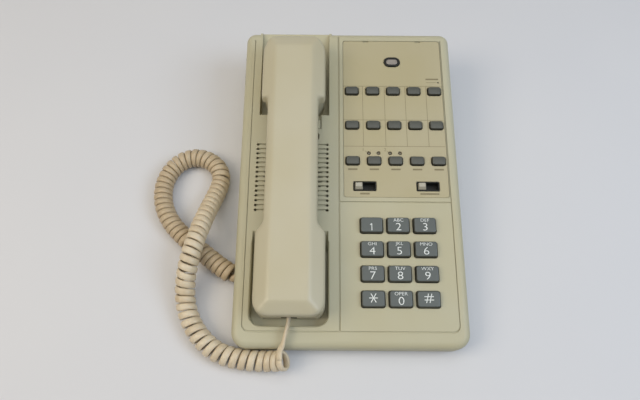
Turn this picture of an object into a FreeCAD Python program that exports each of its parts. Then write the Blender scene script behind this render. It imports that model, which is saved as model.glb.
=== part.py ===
import FreeCAD, Part
import bisect
import math
import os

# Two-line desk telephone, in millimetres. +X is to the right, +Y to the rear and +Z up.
# The origin is under the middle of the set, on the table. Most pieces are laid out in the
# face frame: x across, v up the slope of the face and w out of it. v is 0 at the groove
# near the front edge, and w is 0 on the face.

V = FreeCAD.Vector

# Lengths this small count as none, and a hair is the least that isn't
close = 1e-4
hair = 0.01

# The wedge
body_width = 163.4
front_v = -11.0
rear_v = 238.0
face_tilt = 7.5
groove_height = 21.5
wall = 2.8
front_corner = 11.0
rear_corner = 7.5
edge_rounding = 5.0
least_corner = 1.0

# The base
foot_height = 1.5
skirt_gap = 0.5
pan_floor = 2.0
pan_rim = 5.0
pan_wall = 1.8
pan_gap = 0.3
foot_diameter = 15.0
foot_sink = 0.8
foot_gap = 0.1
foot_inset = 17.0
foot_cup = 2.0
foot_cup_rise = 1.0
foot_edge = 0.5
boss_foot = 6.0
boss_bite = 0.3
cup_wall = 1.7

# Handset
handset_x = -41.7
head_width = 48.0
ear_head_width = 47.4
ear_cup_step = 1.0
handle_width = 37.0
handset_top = 28.0
parting = 14.0
handle_under = 10.0
roof_flat = 27.0
roof_slope = 32.0
handset_wall = 2.2
mic_end = 8.8
ear_end = 222.2
ear_step = 166.3
ear_step_corner = 1.2
flare_low = 64.5
flare_high = 70.5
flare_corner = 0.3
head_corner = 9.0
ear_corner = 18.0
cup_corner = 12.0
cup_low = 165.8

# Wells, each as large as its end of the handset and the room round it
ear_well_room = 3.1
ear_well_front_room = 2.4
ear_ramp_start = 13.0
ear_rim_drop = 2.0
ear_tub_inset = 0.4
mic_well_room = 3.1
mic_well_front_room = 5.0
mic_well_shift = -0.9
mic_ramp_half = 6.5
mic_well_corner = 8.0
well_depth = 12.0
well_wall = 2.0
rim_chamfer = 0.8
rim_back = 2.0
seat_gap = 0.3

# Speaker slots
slot_count = 15
slot_first = 86.5
slot_last = 138.5
slot_shift = -0.75
slot_length = 54.3
slot_width = 1.4
slot_depth = 1.3
slot_hole = 2.0
slot_step = 0.2
slot_margin = 3.0
speaker_diameter = 50.0
speaker_gap = 0.3
speaker_ring_wall = 1.2
speaker_ring_depth = 3.0
magnet_diameter = 30.0
magnet_height = 8.0
speaker_height = 19.0
speaker_rim = (4.0, 1.6)
speaker_seat_gap = 0.05
basket_foot = 2.4
basket_wall = 1.4
basket_floor = 0.5
cone_thickness = 0.7
cone_cap = 8.0
cone_gap = 0.3
cone_edge = 1.1
cone_rise = 1.9

# Grooves of the face
groove_width = 1.1
groove_depth = 0.9
divider_x = -7.5
middle_groove_v = 92.9
border = 7.4
border_corner = 5.0

# Inset plate
plate_left_room = 6.9
plate_right_room = 6.6
plate_front = 96.6
plate_rear = 230.5
plate_recess = 1.5
plate_thickness = 1.2
plate_gap = 0.25
plate_seat_gap = 0.05
plate_corner = 2.0
plate_hole_gap = 0.1
plate_lamp_gap = 0.2
plate_window_gap = 0.3
plate_window_corner = 1.0
pry_notch_width = 4.2
pry_notch_depth = 1.2
pry_notch_x = (14.3, 56.3)

# Keys
dial_middle_x = 34.6
dial_pitch_x = 19.05
dial_v = 75.0
dial_pitch_v = 17.6
dial_size = (16.4, 11.6)
dial_top = (15.4, 10.8)
dial_height = 3.4
dial_edge = 0.5
memory_x = 2.7
memory_pitch_x = 16.1
memory_v = 184.6
memory_pitch_v = 29.5
memory_size = (10.2, 6.9)
memory_top = (9.6, 6.3)
memory_height = 2.0
memory_edge = 0.6
key_gap = 0.35
key_corner = 1.7
key_corner_step = 0.3
key_flange = 0.7
key_flange_thickness = 0.8
key_flange_gap = 0.3
key_travel = 1.6
key_wall = 1.2
key_roof = 2.2
key_hollow_corner = 0.6
key_depth = 6.8
key_stop_gap = 0.2

# Boards
board_thickness = 1.6
mat_thickness = 1.2
mat_margin = 0.6
mat_gap = 0.3
dome_height = 0.4
dome_diameter = 5.0
dome_shoulder = 0.8
dome_bite = 0.5
key_screw_room = 14.9
key_screw_v = (17.0, 90.0, 212.5)
key_board_side_room = 4.8
key_board_end_room = 5.0
main_board_z = 9.0
main_board_x = (-58.0, 70.0)
main_board_front = 14.0
main_board_rear_room = 6.3
main_screw_inset = 6.0
main_screw_rear_inset = 16.0
main_screw_x = -20.0
standoff_diameter = 6.5
transformer_x = (5.0, 50.0)
transformer_y = 45.0
transformer_core = (18.0, 15.0, 14.0)
transformer_coil = (13.0, 19.0, 9.0)
transformer_corner = 2.0

# Screws, all of one kind
screw_diameter = 2.9
screw_length = 8.0
screw_head_diameter = 5.6
screw_head_height = 1.7
screw_head_edge = 0.6
screw_head_gap = 0.3
screw_slot = (4.4, 0.7)
screw_slot_depth = 0.6
screw_recess = 1.1
screw_gap = 0.05
screw_tip_gap = 0.6
screw_hole_gap = 0.25

# Slide switches
switch_x = (11.5, 58.15)
switch_v = 105.5
switch_window = (16.8, 7.2)
switch_base = (19.0, 9.4)
switch_base_gap = 0.2
switch_frame = 0.65
switch_frame_top = -0.3
switch_slot_floor = -6.0
switch_fit = 0.1
switch_corner = 0.8
knob_size = (5.8, 5.3)
knob_ridge = (2.2, 4.9)
knob_shoulder = 0.2
knob_height = 1.4
knob_corner = 0.5
knob_top_corner = 0.3
knob_gap = 0.25
knob_foot_gap = 0.3

# Lamps and microphone
lamp_x = 34.9
lamp_v = 210.9
lamp_size = (12.8, 8.6)
lamp_ring = 1.5
lamp_fit = 0.15
lamp_ring_height = 0.7
lamp_ring_edge = 0.4
lamp_lens_height = 0.5
lamp_lens_edge = 0.7
lamp_skirt = -8.0
line_lamp_x = (15.0, 22.3, 31.0, 38.5)
line_lamp_v = 132.0
line_lamp_diameter = 2.7
line_lamp_top = -0.25
line_lamp_flat = 0.15
hands_free_x = 70.7
hands_free_v = 192.7
hands_free_hole = 1.4
hands_free_diameter = 6.0
hands_free_length = 5.0
hands_free_gap = 0.2
hands_free_edge = 0.3

# Hook plunger and retainer tab
plunger_v = 147.0
plunger_size = (9.0, 6.0)
plunger_corner = 1.0
plunger_edge = 0.8
plunger_gap = 0.3
plunger_top_gap = 0.3
plunger_stop_gap = 0.1
plunger_rise = 5.0
plunger_flange = (13.0, 10.0)
plunger_flange_thickness = 1.2
plunger_guide_depth = 2.0
plunger_guide_wall = 1.5
hook_switch_size = (6.5, 20.0, 10.0)
hook_button = (3.0, 5.0, 0.8)
hook_button_gap = 0.7
tab_shift = 12.65
tab_size = (14.9, 11.4)
tab_thickness = 3.0
tab_floor = 2.0
tab_floor_side = 3.0
tab_gap = 0.3
tab_side_gap = 0.8
tab_back_gap = 0.2
tab_under_gap = 0.1
tab_notch = (2.4, 4.0)
key_slot_shift = 18.1
key_slot_v = 145.4
key_slot = (2.2, 5.5)

# Sockets and plugs
plug_size = (7.6, 12.0, 4.4)
plug_gap = 0.2
plug_step = (3.2, 0.8)
jack_wall = 1.5
line_jack_x = (20.0, 38.0)
line_jack_size = (13.0, 14.0, 12.0)
line_jack_gap = 0.2
line_socket = (9.8, 11.0, 7.0)
pocket_y = -72.5
pocket_width = 22.0
pocket_depth = 13.0
pocket_height = 9.8
pocket_roof = 1.2
arch_width = 15.0
arch_radius = 4.0
plug_z = 6.6
plug_proud = 4.0
latch = (3.2, 8.0, 0.7)
latch_start = 1.0
latch_bite = 0.2
latch_gap = 0.3
latch_drop = 0.1

# Handset fittings
capsule_gap = 0.2
receiver_v = 187.5
receiver_size = (32.0, 9.0)
receiver_rings = 2
mouthpiece_v = 40.0
mouthpiece_size = (20.0, 8.0)
mouthpiece_rings = 1
capsule_edge = 0.6
capsule_step = (10.0, 1.2)
sound_hole = 1.8
sound_ring = 6.0
weight_size = (16.0, 55.0, 8.0)
weight_v = 119.5
weight_corner = 2.0
end_jack_shift = -0.5
end_jack_v = 14.0
end_plug_v = 11.0
end_plug_w = 3.0
end_notch_gap = 1.6
end_notch_low = 2.8
end_notch_high = 2.4

# Cord
wire_diameter = 2.7
coil_diameter = 14.6
open_pitch = 6.0
middle_pitch = 5.0
closed_pitch = 4.7
open_length = 100.0
middle_length = 230.0
pitch_change = 40.0
coil_start_angle = 150.0
lead_last_run = 5.4
arc_share = 0.45
tail_length = 15.0
tail_start = 1.6
tail_pitch = 14.0

# How finely the cord's line is read
line_steps = 24
heading_step = 0.02
gap_step = 0.8
gap_cell = 6.0

# Where the coiled part lies, in its own order: from under the mouth end along the front, round
# the left corner, up into a hump, round one loop on the table and back under the hump to the
# side socket. The coil's axis follows the smooth line that these points guide.
coil_route = [
    (-46.3, -133.8, 7.4), (-56.6, -134.0, 7.4), (-69.5, -134.0, 7.4), (-83.0, -131.8, 7.4),
    (-95.2, -125.8, 7.4), (-105.6, -116.4, 7.4), (-113.2, -105.0, 7.4), (-117.4, -93.0, 8.6),
    (-118.1, -81.1, 13.4), (-116.1, -70.5, 20.2), (-113.7, -59.6, 23.8), (-111.0, -47.2, 23.8),
    (-108.0, -30.7, 18.8), (-104.4, -13.0, 11.6), (-100.8, 1.4, 7.4), (-100.0, 11.3, 7.4),
    (-105.8, 22.3, 7.4), (-119.4, 28.8, 7.4), (-132.0, 25.8, 7.4), (-141.0, 16.5, 7.4),
    (-145.3, 2.8, 7.4), (-144.4, -10.4, 7.4), (-140.6, -21.6, 7.4), (-133.9, -32.1, 7.4),
    (-125.3, -40.8, 7.4), (-117.0, -47.8, 7.4), (-107.1, -55.6, 7.4), (-97.7, -63.0, 7.4),
    (-87.5, -70.0, 7.3), (-80.0, -72.5, 6.6), (-74.5, -72.5, 6.6),
]

# The lead's points over the face, as (x, v, w), from the plug to beyond the front edge.
lead_over_face = [
    (handset_x + end_jack_shift, end_plug_v, end_plug_w), (-42.2, 6.2, 3.0), (-43.4, 1.6, 5.3),
    (-44.8, -4.4, 7.5), (-46.1, -11.2, 7.1), (-46.2, -16.2, 3.7),
]

tilt = math.radians(face_tilt)
sin_t = math.sin(tilt)
cos_t = math.cos(tilt)
half_width = body_width / 2
skirt_z = foot_height + skirt_gap
pan_top = foot_height + pan_floor

# How far a cut runs past what it cuts, how far a boss reaches into its wall, and distances
# that lie outside the whole set
above = 1.0
bite = 1.0
far_down = -90.0
beyond = 300.0

# What follows from the sizes
mic_well_width = head_width + 2 * mic_well_room
mic_well_front = mic_end - mic_well_front_room
mic_well_ramp = flare_low - mic_ramp_half
mic_well_end = flare_low + mic_ramp_half
ear_well_width = ear_head_width + 2 * ear_well_room
ear_well_front = cup_low - ear_well_front_room
ear_well_ramp = ear_end - ear_ramp_start
speaker_v = (slot_first + slot_last) / 2
plate_left = memory_x - plate_left_room
plate_right = memory_x + 4 * memory_pitch_x + plate_right_room
dial_x = dial_middle_x - dial_pitch_x
key_screw_x = (dial_x - key_screw_room, dial_middle_x + dial_pitch_x + key_screw_room)
key_board_left = key_screw_x[0] - key_board_side_room
key_board_right = key_screw_x[1] + key_board_side_room
key_board_front = key_screw_v[0] - key_board_end_room
key_board_rear = key_screw_v[-1] + key_board_end_room
key_board_w = -(key_depth + key_travel + key_stop_gap + dome_height + mat_thickness)
switch_base_top = -wall - switch_base_gap
tab_left = handset_x + tab_shift - tab_size[0] / 2
tab_right = handset_x + tab_shift + tab_size[0] / 2
tab_front = ear_well_front - tab_size[1]

# The set is centred front to back on its widest points: the rounded front edge and the
# foot of the back wall, which both lean with the face.
front_y = front_v * cos_t + edge_rounding * (sin_t + cos_t - 1)
back_foot_w = (skirt_z - groove_height - rear_v * sin_t) / cos_t
rear_y = rear_v * cos_t - back_foot_w * sin_t
shift_y = -(front_y + rear_y) / 2
face_placement = FreeCAD.Placement(
    V(0, shift_y, groove_height), FreeCAD.Rotation(V(1, 0, 0), face_tilt)
)


def tilted(shape):
    """A shape of the face frame, laid where it is on the set."""
    shape = shape.copy()
    shape.Placement = face_placement.multiply(shape.Placement)
    return shape


def world(x, v, w=0.0):
    """A point of the face frame, in the set's own frame."""
    return face_placement.multVec(V(x, v, w))


def box(x0, x1, y0, y1, z0, z1):
    return Part.makeBox(x1 - x0, y1 - y0, z1 - z0, V(x0, y0, z0))


def block(x, y, size, z0, z1):
    """A square-cornered block of that size about a place."""
    return box(x - size[0] / 2, x + size[0] / 2, y - size[1] / 2, y + size[1] / 2, z0, z1)


def slab(z0, z1):
    """All there is between two heights."""
    return box(-beyond, beyond, -beyond, beyond, z0, z1)


def outline(x0, x1, y0, y1, near, far, z=0.0):
    """A rectangle with rounded corners: near at y0 and far at y1."""
    arcs = []
    for cx, cy, radius, start in (
        (x1 - near, y0 + near, near, -90),
        (x1 - far, y1 - far, far, 0),
        (x0 + far, y1 - far, far, 90),
        (x0 + near, y0 + near, near, 180),
    ):
        turn = [math.radians(start + step) for step in (0, 45, 90)]
        arcs.append([V(cx + radius * math.cos(a), cy + radius * math.sin(a), z) for a in turn])
    edges = []
    for i, arc in enumerate(arcs):
        edges.append(Part.Arc(*arc).toShape())
        following = arcs[(i + 1) % 4][0]
        if (following - arc[2]).Length > close:
            edges.append(Part.LineSegment(arc[2], following).toShape())
    return Part.Wire(edges)


def rounded(x0, x1, y0, y1, z0, z1, near, far=None):
    """An upright block with rounded corners."""
    far = near if far is None else far
    wire = outline(x0, x1, y0, y1, near, far, z0)
    return Part.Face(wire).extrude(V(0, 0, z1 - z0))


def about(x, y, size, z0, z1, radius):
    """A rounded block of that size about a place."""
    return rounded(x - size[0] / 2, x + size[0] / 2, y - size[1] / 2, y + size[1] / 2, z0, z1, radius)


def stadium(x, y, size, z0, z1):
    """A block with round ends, which keep a hair of flat between their two corners."""
    return about(x, y, size, z0, z1, min(size) / 2 - hair)


def tapered(x, y, low, high, z0, z1, low_radius, high_radius):
    """A rounded block that narrows as it rises."""
    wires = [
        outline(x - size[0] / 2, x + size[0] / 2, y - size[1] / 2, y + size[1] / 2, radius, radius, z)
        for size, radius, z in ((low, low_radius, z0), (high, high_radius, z1))
    ]
    return Part.makeLoft(wires, True, True)


def grown(size, margin):
    return tuple(side + 2 * margin for side in size)


def cylinder(x, y, z0, z1, diameter):
    return Part.makeCylinder(diameter / 2, z1 - z0, V(x, y, z0))


def polygon(points):
    return Part.Face(Part.makePolygon(points + points[:1]))


def profile(points, x0, x1):
    """A closed outline of (v, w) points, carried from x0 to x1."""
    return polygon([V(x0, v, w) for v, w in points]).extrude(V(x1 - x0, 0, 0))


def turned(points, x, y, w0):
    """A ring or cup: an outline of (radius, height) points turned about an upright axis."""
    face = polygon([V(x + r, y, w0 + w) for r, w in points])
    return face.revolve(V(x, y, 0), V(0, 0, 1), 360)


def rounded_top(shape, radius, top):
    """The shape with its edges at that height made round."""
    return shape.makeFillet(radius, [edge for edge in shape.Edges if edge.BoundBox.ZMin > top - close])


nodes = {}


def add(name, shape, on_face=True):
    nodes[name] = tilted(shape) if on_face else shape


def group(shapes):
    """Several solids as one node, each its own solid."""
    return Part.makeCompound(shapes)


# Where the repeated things are

dial_names = ["1", "2", "3", "4", "5", "6", "7", "8", "9", "star", "0", "hash"]
dial_places = [
    (dial_x + dial_pitch_x * column, dial_v - dial_pitch_v * row)
    for row in range(4) for column in range(3)
]
memory_places = [
    (memory_x + memory_pitch_x * column, memory_v - memory_pitch_v * row)
    for row in range(3) for column in range(5)
]
slot_places = [
    slot_first + (slot_last - slot_first) * i / (slot_count - 1) for i in range(slot_count)
]
case_screws_at = [
    (-45.0, front_v + 8.6), (62.0, front_v + 8.6),
    (-half_width + 7.0, rear_v - 13.3), (half_width - 7.2, rear_v - 10.3),
]
key_screws_at = [(x, v) for x in key_screw_x for v in key_screw_v]
feet_at = [
    (side * (half_width - foot_inset), y)
    for side in (-1, 1)
    for y in (front_y + shift_y + foot_inset + 3, rear_y + shift_y - foot_inset)
]
line_jack_z = main_board_z + board_thickness
line_jack_y = rear_y + shift_y - wall
main_board_rear = line_jack_y - main_board_rear_room
main_screws_at = [
    (main_board_x[0] + main_screw_inset, main_board_rear - main_screw_rear_inset),
    (main_board_x[1] - main_screw_inset, main_board_rear - main_screw_rear_inset),
    (main_screw_x, main_board_front + main_screw_inset),
    (main_board_x[1] - main_screw_inset, main_board_front + main_screw_inset),
]
pocket_back_x = -half_width + wall + pocket_depth
case_screw_seat = foot_height + screw_recess + screw_head_height
well_x = handset_x + mic_well_shift
board_bottom_w = key_board_w - board_thickness
screw_hole_diameter = screw_diameter + 2 * screw_gap
screw_clear_diameter = screw_diameter + 2 * screw_hole_gap
plunger_hole = grown(plunger_size, plunger_gap)


# Housing


def body_prism(inset, w0, w1):
    """The set's outline, drawn in by inset, between two depths."""
    return rounded(
        -half_width + inset, half_width - inset, front_v + inset, rear_v - inset, w0, w1,
        max(front_corner - inset, least_corner), max(rear_corner - inset, least_corner),
    )


def rounded_body():
    """The outside of the shell, with a soft edge all round its face."""
    return rounded_top(body_prism(0.0, far_down, 0.0), edge_rounding, 0.0)


def mic_well(grow, drop):
    """The mouth end's well: flat, then a ramp up to the face."""
    x0 = well_x - mic_well_width / 2 - grow
    x1 = well_x + mic_well_width / 2 + grow
    run = (mic_well_end - mic_well_ramp) / well_depth
    near = mic_well_front - grow
    far = mic_well_end + (drop + above) * run
    plan = rounded(x0, x1, near, far + 2 * above, far_down, above, mic_well_corner + grow, least_corner)
    floor = -well_depth - drop
    side = [
        (near - above, above), (near - above, floor), (mic_well_ramp, floor),
        (mic_well_end + drop * run, 0), (far, above),
    ]
    return plan.common(profile(side, x0, x1))


def ear_well(grow, drop):
    """The ear end's well, whose floor ramps up to a low rim at the rear."""
    x0 = handset_x - ear_well_width / 2 - grow
    x1 = handset_x + ear_well_width / 2 + grow
    floor = -well_depth - drop
    side = [
        (ear_well_front - grow, above), (ear_well_front - grow, floor), (ear_well_ramp, floor),
        (rear_v, -ear_rim_drop - drop), (rear_v + above, -ear_rim_drop - drop), (rear_v + above, above),
    ]
    return profile(side, x0, x1)


def rim_cut(x0, x1, v0, v1, radius):
    """The small bevel round the mouth of a well."""
    spread = rim_chamfer * 1.5
    low = outline(x0, x1, v0, v1, radius, radius, -rim_chamfer)
    high = outline(x0 - spread, x1 + spread, v0 - spread, v1 + spread, radius + spread, radius + spread,
                   rim_chamfer / 2)
    return Part.makeLoft([low, high], True, True)


def slot_cuts():
    """Speaker slots: a shallow groove with a hole at each end, open over the speaker."""
    middle = handset_x + slot_shift
    x0, x1 = middle - slot_length / 2, middle + slot_length / 2
    cuts = []
    for v in slot_places:
        cuts.append(stadium(middle, v, (slot_length, slot_width), -slot_depth, above))
        for x in (x0 + slot_hole / 2, x1 - slot_hole / 2):
            cuts.append(cylinder(x, v, -wall - above, above, slot_hole))
        reach = math.sqrt(max((speaker_diameter / 2 - slot_margin) ** 2 - (v - speaker_v) ** 2, 0))
        if reach > slot_width:
            cuts.append(block(handset_x, v, (2 * reach, slot_width - 2 * slot_step), -wall - above, 0))
    return cuts


def grooves():
    """The fine lines of the face: the border with its round corners and two dividers."""
    half = groove_width / 2
    x0, x1 = -half_width + border, half_width - border
    v1 = rear_v - border
    ring, core = [
        rounded(x0 - grow / 2, x1 + grow / 2, -grow, 2 * v1, -groove_depth, above, border_corner + grow / 2)
        for grow in (half, -half)
    ]
    edge = ring.cut(core).common(box(-beyond, beyond, -beyond, v1, -groove_depth, above))
    divider = box(divider_x - half, divider_x + half, 0, rear_v + above, -groove_depth, above)
    middle = box(divider_x, x1, middle_groove_v - half, middle_groove_v + half, -groove_depth, above)
    return [edge, divider, middle]


def key_holes(places, size, gap, z0, z1):
    return [about(x, v, grown(size, gap), z0, z1, key_corner + gap) for x, v in places]


def arch(y, width, height, x0, x1):
    """A cut with a round top, through the side wall from the table up."""
    shoulders = [y + side * (width / 2 - arch_radius) for side in (-1, 1)]
    return box(x0, x1, y - width / 2, y + width / 2, -above, height - arch_radius).fuse([
        box(x0, x1, shoulders[0], shoulders[1], -above, height),
        *[Part.makeCylinder(arch_radius, x1 - x0, V(x0, at, height - arch_radius), V(1, 0, 0))
          for at in shoulders],
    ])


def housing_inside():
    """What hangs under the face: both tubs, speaker ring, plunger guide, tab pad and posts."""
    ring_inside = speaker_diameter + 2 * speaker_gap
    ring_outside = ring_inside + 2 * speaker_ring_wall
    ring = cylinder(handset_x, speaker_v, -wall - speaker_ring_depth, -bite, ring_outside)
    ring = ring.cut(cylinder(handset_x, speaker_v, far_down, -wall, ring_inside))
    pieces = [
        mic_well(well_wall, well_wall).common(slab(far_down, -bite)),
        ear_well(well_wall, well_wall).common(body_prism(ear_tub_inset, far_down, -bite)),
        ring,
        about(handset_x, plunger_v, grown(plunger_size, plunger_guide_wall), -wall - plunger_guide_depth,
              -bite, plunger_guide_wall),
        box(tab_left - tab_floor_side, tab_right + tab_side_gap + well_wall, tab_front - well_wall,
            ear_well_front, -tab_thickness - tab_floor, -bite),
    ]
    pieces += [cylinder(x, v, key_board_w, -bite, standoff_diameter) for x, v in key_screws_at]
    return pieces


def face_cuts():
    """All that is cut into the face: wells, slots, grooves, and holes for what shows."""
    cuts = [mic_well(0, 0), ear_well(0, 0)]
    cuts.append(rim_cut(well_x - mic_well_width / 2, well_x + mic_well_width / 2, mic_well_front,
                        mic_well_end - rim_back, mic_well_corner))
    cuts += slot_cuts() + grooves()
    cuts.append(rounded(plate_left, plate_right, plate_front, plate_rear, -plate_recess, above, plate_corner))
    inner = -wall - above
    cuts += key_holes(dial_places, dial_size, key_gap, inner, above)
    cuts += key_holes(memory_places, memory_size, key_gap, inner, above)
    cuts += [about(x, switch_v, switch_window, inner, above, switch_corner) for x in switch_x]
    cuts.append(stadium(lamp_x, lamp_v, lamp_size, inner, above))
    cuts += [cylinder(x, line_lamp_v, inner, above, line_lamp_diameter + 2 * lamp_fit)
             for x in line_lamp_x]
    cuts.append(cylinder(hands_free_x, hands_free_v, inner, above, hands_free_hole))
    cuts.append(about(handset_x, plunger_v, plunger_hole, far_down, above, plunger_corner + plunger_gap))
    cuts.append(box(tab_left - tab_gap, tab_right + tab_side_gap, tab_front - tab_gap,
                    ear_well_front + above, -tab_thickness, above))
    cuts.append(stadium(handset_x + key_slot_shift, key_slot_v, key_slot, far_down, above))
    pilot_top = board_bottom_w + screw_length + screw_tip_gap
    cuts += [cylinder(x, v, key_board_w - above, pilot_top, screw_hole_diameter) for x, v in key_screws_at]
    return cuts


def top_housing():
    shell = rounded_body().cut(body_prism(wall, far_down, -wall))
    solid = tilted(shell.fuse(housing_inside()).cut(face_cuts()))
    inside = tilted(body_prism(wall / 2, far_down, boss_bite - wall))
    bosses = []
    cuts = []
    for x, v in case_screws_at:
        y = world(x, v).y
        bosses.append(cylinder(x, y, boss_foot, beyond, standoff_diameter).common(inside))
        cuts.append(cylinder(x, y, boss_foot - above, boss_foot + screw_length, screw_hole_diameter))
    cuts.append(arch(pocket_y, arch_width + 2 * pan_gap, pocket_height + pan_gap, -half_width - above,
                     -half_width + wall + above / 2))
    width, depth, height = grown(line_jack_size, line_jack_gap)
    for x in line_jack_x:
        cuts.append(box(x - width / 2, x + width / 2, line_jack_y - depth, beyond,
                        line_jack_z - line_jack_gap, line_jack_z - line_jack_gap + height))
    solid = solid.fuse(bosses).cut(cuts)
    return solid.common(slab(skirt_z, beyond)).removeSplitter()


# Base


def socket_block():
    """The side socket's block, which looks out into the cord pocket."""
    width = plug_size[0] + 2 * plug_gap + 2 * jack_wall
    height = plug_size[2] + 2 * plug_gap + 2 * jack_wall
    depth = plug_size[1] - plug_proud + jack_wall + plug_gap
    return box(pocket_back_x, pocket_back_x + depth, pocket_y - width / 2, pocket_y + width / 2,
               plug_z - height / 2, plug_z + height / 2)


def base_pan():
    """A tray inside the skirt, with screw cups, stand-offs and the cord pocket."""
    gap = wall + pan_gap
    prism = tilted(body_prism(gap, far_down, 0))
    core = tilted(body_prism(gap + pan_wall, far_down, 0))
    pan = prism.common(slab(foot_height, pan_top + pan_rim)).cut(core.common(slab(pan_top, beyond)))
    x0, x1 = -half_width + gap, pocket_back_x
    y0, y1 = pocket_y - pocket_width / 2, pocket_y + pocket_width / 2
    solids = [box(x0, x1 + pan_wall, y0 - pan_wall, y1 + pan_wall, foot_height, pocket_height + pocket_roof)]
    cuts = [box(x0 - above, x1, y0, y1, 0, pocket_height), socket_block()]
    for x, v in case_screws_at:
        y = world(x, v).y
        solids.append(cylinder(x, y, foot_height, boss_foot, screw_head_diameter + 2 * cup_wall))
        cuts.append(cylinder(x, y, 0, boss_foot, screw_clear_diameter))
        cuts.append(cylinder(x, y, boss_foot, beyond, standoff_diameter + 2 * pan_gap))
        cuts.append(cylinder(x, y, 0, case_screw_seat, screw_head_diameter + 2 * screw_head_gap))
    for x, y in main_screws_at:
        solids.append(cylinder(x, y, foot_height, main_board_z, standoff_diameter))
        hole_foot = main_board_z + board_thickness - screw_length - screw_tip_gap
        cuts.append(cylinder(x, y, hole_foot, main_board_z + above, screw_hole_diameter))
    for x, y in feet_at:
        solids.append(cylinder(x, y, foot_height, pan_top + foot_cup_rise, foot_diameter + 2 * foot_cup))
        cuts.append(cylinder(x, y, 0, foot_height + foot_sink, foot_diameter + 2 * foot_gap))
    return pan.fuse(solids).common(prism).cut(cuts).removeSplitter()


def rubber_feet():
    """Four round feet in their cups, with a soft lower edge."""
    feet = []
    for x, y in feet_at:
        foot = cylinder(x, y, 0, foot_height + foot_sink, foot_diameter)
        feet.append(foot.makeFillet(foot_edge, [edge for edge in foot.Edges if edge.BoundBox.ZMax < close]))
    return group(feet)


def screw(x, y, seat, up):
    """A round-headed screw whose head rests on a seat: up says which way its tip points."""
    way = 1 if up else -1
    head = Part.makeCylinder(screw_head_diameter / 2, screw_head_height, V(x, y, seat), V(0, 0, -way))
    end = seat - way * screw_head_height
    rim = [edge for edge in head.Edges if abs(edge.BoundBox.Center.z - end) < hair]
    head = head.makeFillet(screw_head_edge, rim)
    slot = block(x, y, screw_slot, end - screw_slot_depth, end + screw_slot_depth)
    shank = Part.makeCylinder(screw_diameter / 2, screw_length, V(x, y, seat), V(0, 0, way))
    return head.cut(slot).fuse(shank).removeSplitter()


def case_screws():
    """All the screws: four close the case, four hold the main board and six the key board."""
    screws = [screw(x, world(x, v).y, case_screw_seat, True) for x, v in case_screws_at]
    screws += [screw(x, y, main_board_z + board_thickness, False) for x, y in main_screws_at]
    screws += [tilted(screw(x, v, board_bottom_w, True)) for x, v in key_screws_at]
    return group(screws)


add("top_housing", top_housing(), on_face=False)
add("base_pan", base_pan(), on_face=False)
add("rubber_feet", rubber_feet(), on_face=False)
add("case_screws", case_screws(), on_face=False)


# Inset plate


def memory_faceplate():
    """The plate round the memory keys, with two pry notches in its rear edge."""
    gap = plate_gap
    bottom = -plate_recess + plate_seat_gap
    plate = rounded(plate_left + gap, plate_right - gap, plate_front + gap, plate_rear - gap,
                    bottom, bottom + plate_thickness, plate_corner)
    inner = -wall - above
    cuts = key_holes(memory_places, memory_size, key_gap + plate_hole_gap, inner, above)
    cuts += [about(x, switch_v, grown(switch_window, plate_window_gap), inner, above, plate_window_corner)
             for x in switch_x]
    cuts.append(stadium(lamp_x, lamp_v, grown(lamp_size, plate_lamp_gap), inner, above))
    cuts += [cylinder(x, line_lamp_v, inner, above, line_lamp_diameter + 2 * lamp_fit) for x in line_lamp_x]
    cuts.append(cylinder(hands_free_x, hands_free_v, inner, above, hands_free_hole))
    for x in pry_notch_x:
        cuts.append(block(x, plate_rear - gap, (pry_notch_width, 2 * pry_notch_depth), inner, above))
    return plate.cut(cuts)


add("memory_faceplate", memory_faceplate())


# Keys


def key(place, size, top, height, edge):
    """A hollow key with a flange below the face that stops it from coming out."""
    x, v = place
    cap = tapered(x, v, size, top, 0, height, key_corner, key_corner - key_corner_step)
    cap = rounded_top(cap, edge, height)
    skirt = about(x, v, size, -key_depth, 0, key_corner)
    flange_top = -wall - key_flange_gap
    flange = about(x, v, grown(size, key_flange), flange_top - key_flange_thickness, flange_top,
                   key_corner + key_flange)
    hollow = about(x, v, grown(size, -key_wall), -key_depth - above, height - key_roof, key_hollow_corner)
    return cap.fuse([skirt, flange]).cut(hollow).removeSplitter()


for name, place in zip(dial_names, dial_places):
    add(f"dial_key_{name}", key(place, dial_size, dial_top, dial_height, dial_edge))
for i, place in enumerate(memory_places):
    name = f"memory_key_{i + 1}" if i < 10 else f"function_key_{i - 9}"
    add(name, key(place, memory_size, memory_top, memory_height, memory_edge))


# Boards under the keys


def key_board():
    board = box(key_board_left, key_board_right, key_board_front, key_board_rear, board_bottom_w, key_board_w)
    return board.cut([cylinder(x, v, far_down, 0, screw_clear_diameter) for x, v in key_screws_at])


def key_contact_mat():
    """The rubber mat: a dome under each key, and room for what stands on the board."""
    low, high = key_board_w, key_board_w + mat_thickness
    mat = box(key_board_left + mat_margin, key_board_right - mat_margin, key_board_front + mat_margin,
              key_board_rear - mat_margin, low, high)
    radius = dome_diameter / 2
    domes = [Part.makeCone(radius, radius - dome_shoulder, dome_height + dome_bite, V(x, v, high - dome_bite))
             for x, v in dial_places + memory_places]
    mat = mat.fuse(domes)
    cuts = [cylinder(x, v, far_down, 0, standoff_diameter + 2 * mat_gap) for x, v in key_screws_at]
    cuts += [block(x, switch_v, grown(switch_base, mat_gap), far_down, 0) for x in switch_x]
    cuts += [cylinder(x, line_lamp_v, far_down, 0, line_lamp_diameter + 2 * mat_gap) for x in line_lamp_x]
    cuts.append(stadium(lamp_x, lamp_v, grown(lamp_lens_size, mat_gap), far_down, 0))
    return mat.cut(cuts).removeSplitter()


lamp_bezel_size = grown(lamp_size, -lamp_fit)
lamp_hole_size = grown(lamp_bezel_size, -lamp_ring)
lamp_lens_size = grown(lamp_hole_size, -lamp_fit)

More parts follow.
